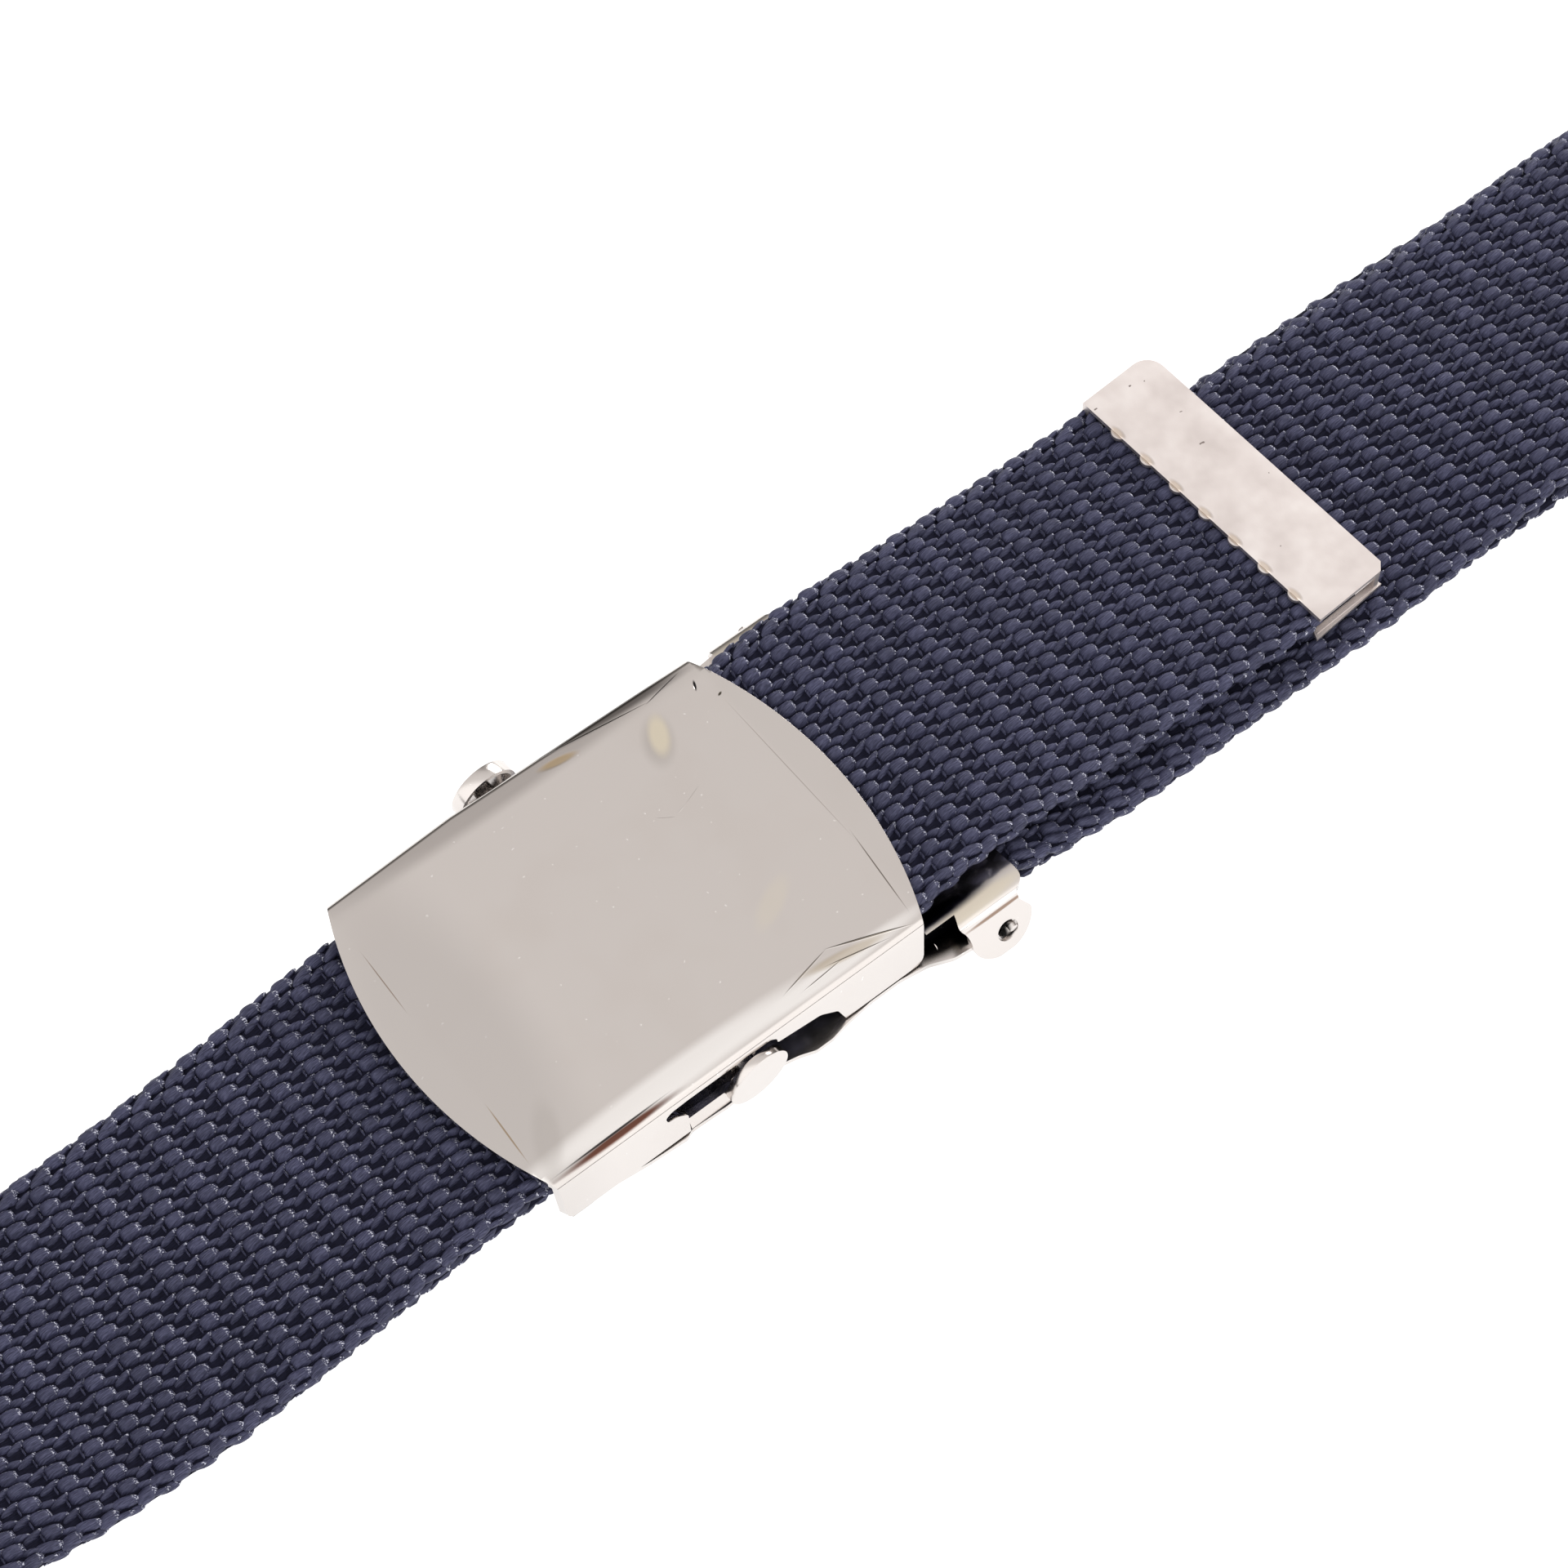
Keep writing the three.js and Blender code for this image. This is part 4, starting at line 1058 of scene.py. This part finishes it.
def modelTip():
    end, half, rise = tipShape["length"] / 2, tipShape["width"] / 2, tipShape["half"]
    sheet = tipShape["sheet"]
    tip = blockPiece("metalTip", (-end, -half, -rise), (end, half, rise))
    pick(tip, "edges", lambda place: place[0] > end - 0.1 and place[1] > half - 0.1)
    bpy.ops.mesh.bevel(offset=tipShape["farCorner"] * mm, segments=8, affect="EDGES")
    pick(tip, "edges", lambda place: place[0] > end - 0.1 and place[1] < -half + 0.1)
    bpy.ops.mesh.bevel(offset=tipShape["nearCorner"] * mm, segments=1, affect="EDGES")
    finishEdit()
    cutBy(tip, blockPiece("tipHollow", (-end - 1, -half - 1, -rise + sheet),
                          (end - tipShape["endWall"], half - tipShape["farWall"], rise - sheet)))
    pitch = (tipShape["width"] - tipShape["teethShort"]) / tipShape["teeth"]
    toothX = -end + tipShape["toothRadius"] - tipShape["toothOut"]
    thin = tipShape["toothThin"]
    for place in range(tipShape["teeth"]):
        y = -half + tipShape["teethFrom"] + pitch * place
        for low in (-rise, rise - sheet - thin):
            middle = (toothX, y, low + sheet / 2)
            joinedTo(tip, rodPiece("tooth", tipShape["toothRadius"], middle, sheet - thin, "Z", 28))
    # the near end is closed by the folded layers of the sheet
    (fromX, fromY), (toX, toY) = tipShape["wall"]
    joinedTo(tip, blockPiece("nearWall", (-end + fromX, -half + fromY, tipShape["wallFoot"]),
                             (end - toX, -half + toY, rise - sheet + tipShape["wallOver"])))
    for layer in range(tipShape["layers"]):
        z = rise - sheet - tipShape["layerTop"] - layer * tipShape["layerStep"]
        middle = (tipShape["ribX"], -half + tipShape["ribY"], z)
        joinedTo(tip, rodPiece("rib", tipShape["layerStep"] * tipShape["layerShare"], middle,
                               tipShape["length"] - tipShape["ribShort"], "X", 16))
    lower = lowerPlateOutline(end, half, tipShape["flareOut"])
    joinedTo(tip, outlineTool("lowerPlate", lower, "Z", -rise, -rise + tipShape["flareThick"]))
    pickAll(tip)
    turned(tipShape["skew"], "Z")
    moved((tipShape["tip"] - end, tipShape["y"], tipLayer))
    finishEdit()
    return rimmed(tip, tipShape["rim"])


# Metal finishes

nickelLook = {
    "colour": (0.70, 0.66, 0.635), "dim": (0.68, 0.635, 0.605), "face": 0.13, "walls": 0.2,
    "roughDrift": 0.08, "roughBelow": 0.04, "clouds": 90.0, "grain": 2600.0, "waves": 38.0, "drift": 400.0,
    "dust": 1500.0, "speckFrom": 0.77, "speckShare": 0.7, "speck": (0.9, 0.88, 0.86),
    "waveHeight": 0.03, "grainHeight": 0.0007,
}
satinLook = {
    "colour": (0.70, 0.645, 0.625), "dim": (0.60, 0.545, 0.525), "pale": (0.78, 0.735, 0.715), "rough": 0.42,
    "clouds": 120.0, "grain": 3800.0, "dust": 950.0, "speckFrom": 0.775, "speckShare": 0.8,
    "speck": (0.12, 0.09, 0.08), "cloudHeight": 0.04, "grainHeight": 0.004,
}
markSoft = 0.6  # the part of a mark's radius over which it fades in
# Marks on the metal, real scratches, stains and dents and also painted highlights, reflections and shade:
# middle in mm, turn in degrees, size in mm, tint, how strong it is and how high it stands
markColumns = "x y turn length width tint share height"
faceMarksAndPaintedLight = tableOf(markColumns, (
    # painted reflections and shade: darker over the left end, a dark band along the far fold, white along the
    # near fold, darker at the near left corner
    (-23.0, -1.0, 86, 60.0, 22.0, (0.57, 0.54, 0.52), 0.6, 0.0),
    (-1.0, 20.5, 0, 64.0, 6.0, (0.40, 0.37, 0.35), 0.6, 0.0),
    (-8.0, -17.9, 0, 52.0, 4.4, (1.0, 0.98, 0.96), 0.95, 0.0),
    (12.0, -18.6, 0, 34.0, 2.6, (1.0, 0.98, 0.96), 0.9, 0.0),
    (-21.6, -15.2, 62, 11.0, 4.0, (0.50, 0.47, 0.44), 0.35, 0.0),
    (15.5, 14.4, 61, 8.2, 4.6, (0.45, 0.42, 0.39), 0.45, -0.03),
    (15.9, 14.8, 64, 6.6, 3.0, (0.80, 0.73, 0.58), 0.9, 0.0),
    (5.5, 19.1, -9, 6.0, 1.3, (0.50, 0.37, 0.20), 0.75, -0.02),
    (22.7, 17.3, 66, 1.7, 0.42, (0.02, 0.02, 0.02), 1.0, -0.04),
    (24.2, 14.8, 20, 0.8, 0.36, (0.08, 0.07, 0.05), 1.0, -0.02),
    # painted shade: a dark wedge along the far edge towards the right end
    (12.5, 20.55, -5, 27.0, 2.6, (0.10, 0.09, 0.085), 0.85, 0.0),
    (10.0, 19.9, -8, 17.0, 0.22, (0.05, 0.045, 0.04), 1.0, -0.03),
    (19.7, 19.25, 11, 6.0, 0.2, (0.06, 0.05, 0.05), 0.9, -0.03),
    (18.4, -17.9, -20.5, 11.0, 0.3, (0.14, 0.11, 0.08), 0.8, 0.05),
    (10.6, -17.0, 12, 8.0, 0.22, (0.16, 0.13, 0.10), 0.7, 0.03),
    (15.2, -18.0, -9, 13.0, 1.6, (0.52, 0.43, 0.30), 0.6, 0.02),
    (16.4, -18.6, -12, 9.0, 0.2, (0.08, 0.06, 0.05), 0.8, 0.02),
    (12.0, -18.4, 4, 7.0, 0.16, (0.10, 0.07, 0.05), 0.8, 0.02),
    (-15.6, -19.45, 0.6, 19.0, 1.1, (0.16, 0.07, 0.05), 1.0, 0.0),
    (-16.2, -19.0, 0.8, 17.0, 0.34, (0.02, 0.015, 0.015), 0.95, 0.0),
    (24.35, 3.0, 91, 26.0, 0.14, (0.30, 0.26, 0.23), 0.5, -0.004),
    (24.2, -12.6, 84, 13.0, 0.18, (0.10, 0.08, 0.06), 0.85, -0.006),
    (-24.4, 9.4, 88, 10.0, 0.16, (0.25, 0.18, 0.13), 0.8, -0.005),
    (-24.5, -12.2, 87, 9.0, 0.24, (0.34, 0.25, 0.15), 0.85, -0.005),
    (10.4, 6.5, -35, 2.6, 0.12, (0.45, 0.42, 0.40), 0.45, -0.006),
    (12.3, 6.2, 15, 1.6, 0.12, (0.85, 0.82, 0.80), 0.6, 0.01),
    (14.3, 6.9, 20, 3.2, 0.12, (0.45, 0.42, 0.40), 0.4, -0.006),
    (13.0, -8.5, 30, 9.0, 3.4, (0.78, 0.72, 0.60), 0.35, 0.0),
))
# Painted shade: inside the clamp the plate is tinted near black
basePaintedShade = tableOf(markColumns, (
    (27.0, -20.2, -8, 14.0, 4.8, (0.012, 0.011, 0.012), 1.0, 0.0),
    (31.0, -20.6, -3, 10.0, 4.8, (0.012, 0.011, 0.012), 1.0, 0.0),
))
# Painted light on the jaw: a pale golden reflection band on each crest, the dark reflection of the strap on
# the plate, and a white highlight along the near fold with a thin brown line under it
jawPaintedLight = tableOf(markColumns, (
    (31.0, -20.4, 0, 17.0, 2.6, (0.80, 0.73, 0.60), 0.8, 0.0),
    (26.5, -18.6, -3, 19.0, 3.0, (0.015, 0.014, 0.02), 1.0, 0.0),
    (33.0, -21.75, 0, 13.0, 0.5, (1.0, 0.99, 0.97), 1.0, 0.05),
    (33.0, -22.15, 0, 12.0, 0.26, (0.25, 0.16, 0.11), 0.9, 0.0),
    (31.0, 20.4, 0, 17.0, 2.6, (0.72, 0.66, 0.56), 0.8, 0.0),
))
# Painted shade: the rivets' outer ends, in the ears, are tinted near black
rivetPaintedShade = tableOf(markColumns, (
    (32.9, -22.8, 0, 2.6, 3.0, (0.01, 0.01, 0.01), 1.0, 0.0),
    (32.9, 22.8, 0, 2.6, 3.0, (0.01, 0.01, 0.01), 1.0, 0.0),
))
# a shallow dent above each crimped tooth, with painted golden shade on its slope
toothDentShade = {"in": 0.2, "length": 2.6, "width": 1.1, "tint": (0.52, 0.42, 0.32), "share": 0.6,
             "height": -0.06}


def markOf(tree, place, mark, height):
    spot = newNode(tree, "Mapping", {
        "Vector": place, "Location": (mark["x"] * mm, mark["y"] * mm, height * mm),
        "Rotation": (0, 0, math.radians(mark["turn"])),
        "Scale": (mark["length"] / 2 * mm, mark["width"] / 2 * mm, 1)}, vector_type="TEXTURE")
    ball = newNode(tree, "TexGradient", {"Vector": spot.outputs["Vector"]}, gradient_type="SPHERICAL")
    soft = newNode(tree, "MapRange", {"Value": ball.outputs["Fac"], "From Max": markSoft},
                   interpolation_type="SMOOTHSTEP")
    return soft.outputs["Result"]


def markedBy(tree, place, marks, level, colour, height):
    # each mark tints the colour, a real scratch or stain or a painted highlight, reflection or shade, and may
    # also dent or raise the surface
    for mark in marks:
        share = markOf(tree, place, mark, level)
        colour = mixedColour(tree, times(tree, share, mark["share"]), colour, mark["tint"])
        if mark["height"]:
            height = plus(tree, height, times(tree, share, mark["height"]))
    return colour, height


def speckled(tree, place, colour, look):
    dust = noiseAt(tree, place, look["dust"], 1.0)
    share = times(tree, mathOf(tree, "GREATER_THAN", dust, look["speckFrom"]), look["speckShare"])
    return mixedColour(tree, share, colour, look["speck"])


def nickelFinish(name, rough, marks=()):
    material, tree, shader = newMaterial(name)
    place = newNode(tree, "TexCoord").outputs["Object"]
    clouds = noiseAt(tree, place, nickelLook["clouds"], 2.0)
    grain = noiseAt(tree, place, nickelLook["grain"], 3.0)
    waves = noiseAt(tree, place, nickelLook["waves"], 1.0)
    colour = rampOf(tree, clouds, ((0.2, nickelLook["dim"]), (0.5, nickelLook["colour"])))
    colour = speckled(tree, place, colour, nickelLook)
    height = plus(tree, times(tree, waves, nickelLook["waveHeight"]),
                  times(tree, grain, nickelLook["grainHeight"]))
    colour, height = markedBy(tree, place, marks, faceTop, colour, height)
    drift = times(tree, noiseAt(tree, place, nickelLook["drift"], 3.0), nickelLook["roughDrift"])
    roughness = plus(tree, drift, rough - nickelLook["roughBelow"])
    fillInputs(tree, shader, {"Metallic": 1, "Base Color": colour, "Roughness": roughness})
    bumpInto(tree, shader, height, mm)
    return material


def satinFinish(marks):
    material, tree, shader = newMaterial("satinNickel")
    place = newNode(tree, "TexCoord").outputs["Object"]
    clouds = noiseAt(tree, place, satinLook["clouds"], 3.0)
    grain = noiseAt(tree, place, satinLook["grain"], 3.0)
    colour = rampOf(tree, clouds, ((0.32, satinLook["dim"]), (0.5, satinLook["colour"]),
                                   (0.66, satinLook["pale"])))
    colour = speckled(tree, place, colour, satinLook)
    height = times(tree, grain, satinLook["grainHeight"])
    colour, height = markedBy(tree, place, marks, tipLayer, colour, height)
    height = plus(tree, height, times(tree, clouds, satinLook["cloudHeight"]))
    fillInputs(tree, shader, {"Metallic": 1, "Base Color": colour, "Roughness": satinLook["rough"]})
    bumpInto(tree, shader, height, mm)
    return material


def crimpDentsAndShade():
    # each tooth is pressed down, with a dent above it whose shaded slope is painted in a golden tint
    turn = math.radians(tipShape["skew"])
    length, half = tipShape["length"] / 2, tipShape["width"] / 2
    pitch = (tipShape["width"] - tipShape["teethShort"]) / tipShape["teeth"]
    marks = []
    for place in range(tipShape["teeth"]):
        x, y = -length + toothDentShade["in"], -half + tipShape["teethFrom"] + pitch * place
        marks.append({**toothDentShade, "turn": 90 + tipShape["skew"],
                      "x": tipShape["tip"] - length + x * math.cos(turn) - y * math.sin(turn),
                      "y": tipShape["y"] + x * math.sin(turn) + y * math.cos(turn)})
    return marks


walls = nickelLook["walls"]
seated(modelCase(), "buckle_case", nickelFinish("faceNickel", nickelLook["face"], faceMarksAndPaintedLight))
seated(modelBase(), "base_channel", nickelFinish("baseNickel", walls, basePaintedShade))
seated(modelBar(), "slide_bar", nickelFinish("plainNickel", walls))
seated(modelJaw(), "clamp_jaw", nickelFinish("jawNickel", walls, jawPaintedLight))
rivetNickel = nickelFinish("rivetNickel", walls, rivetPaintedShade)
seated(modelRivet("rivetNear", -1), "clamp_pin_near", rivetNickel)
seated(modelRivet("rivetFar", 1), "clamp_pin_far", rivetNickel)
seated(modelTip(), "metal_tip", satinFinish(crimpDentsAndShade()))
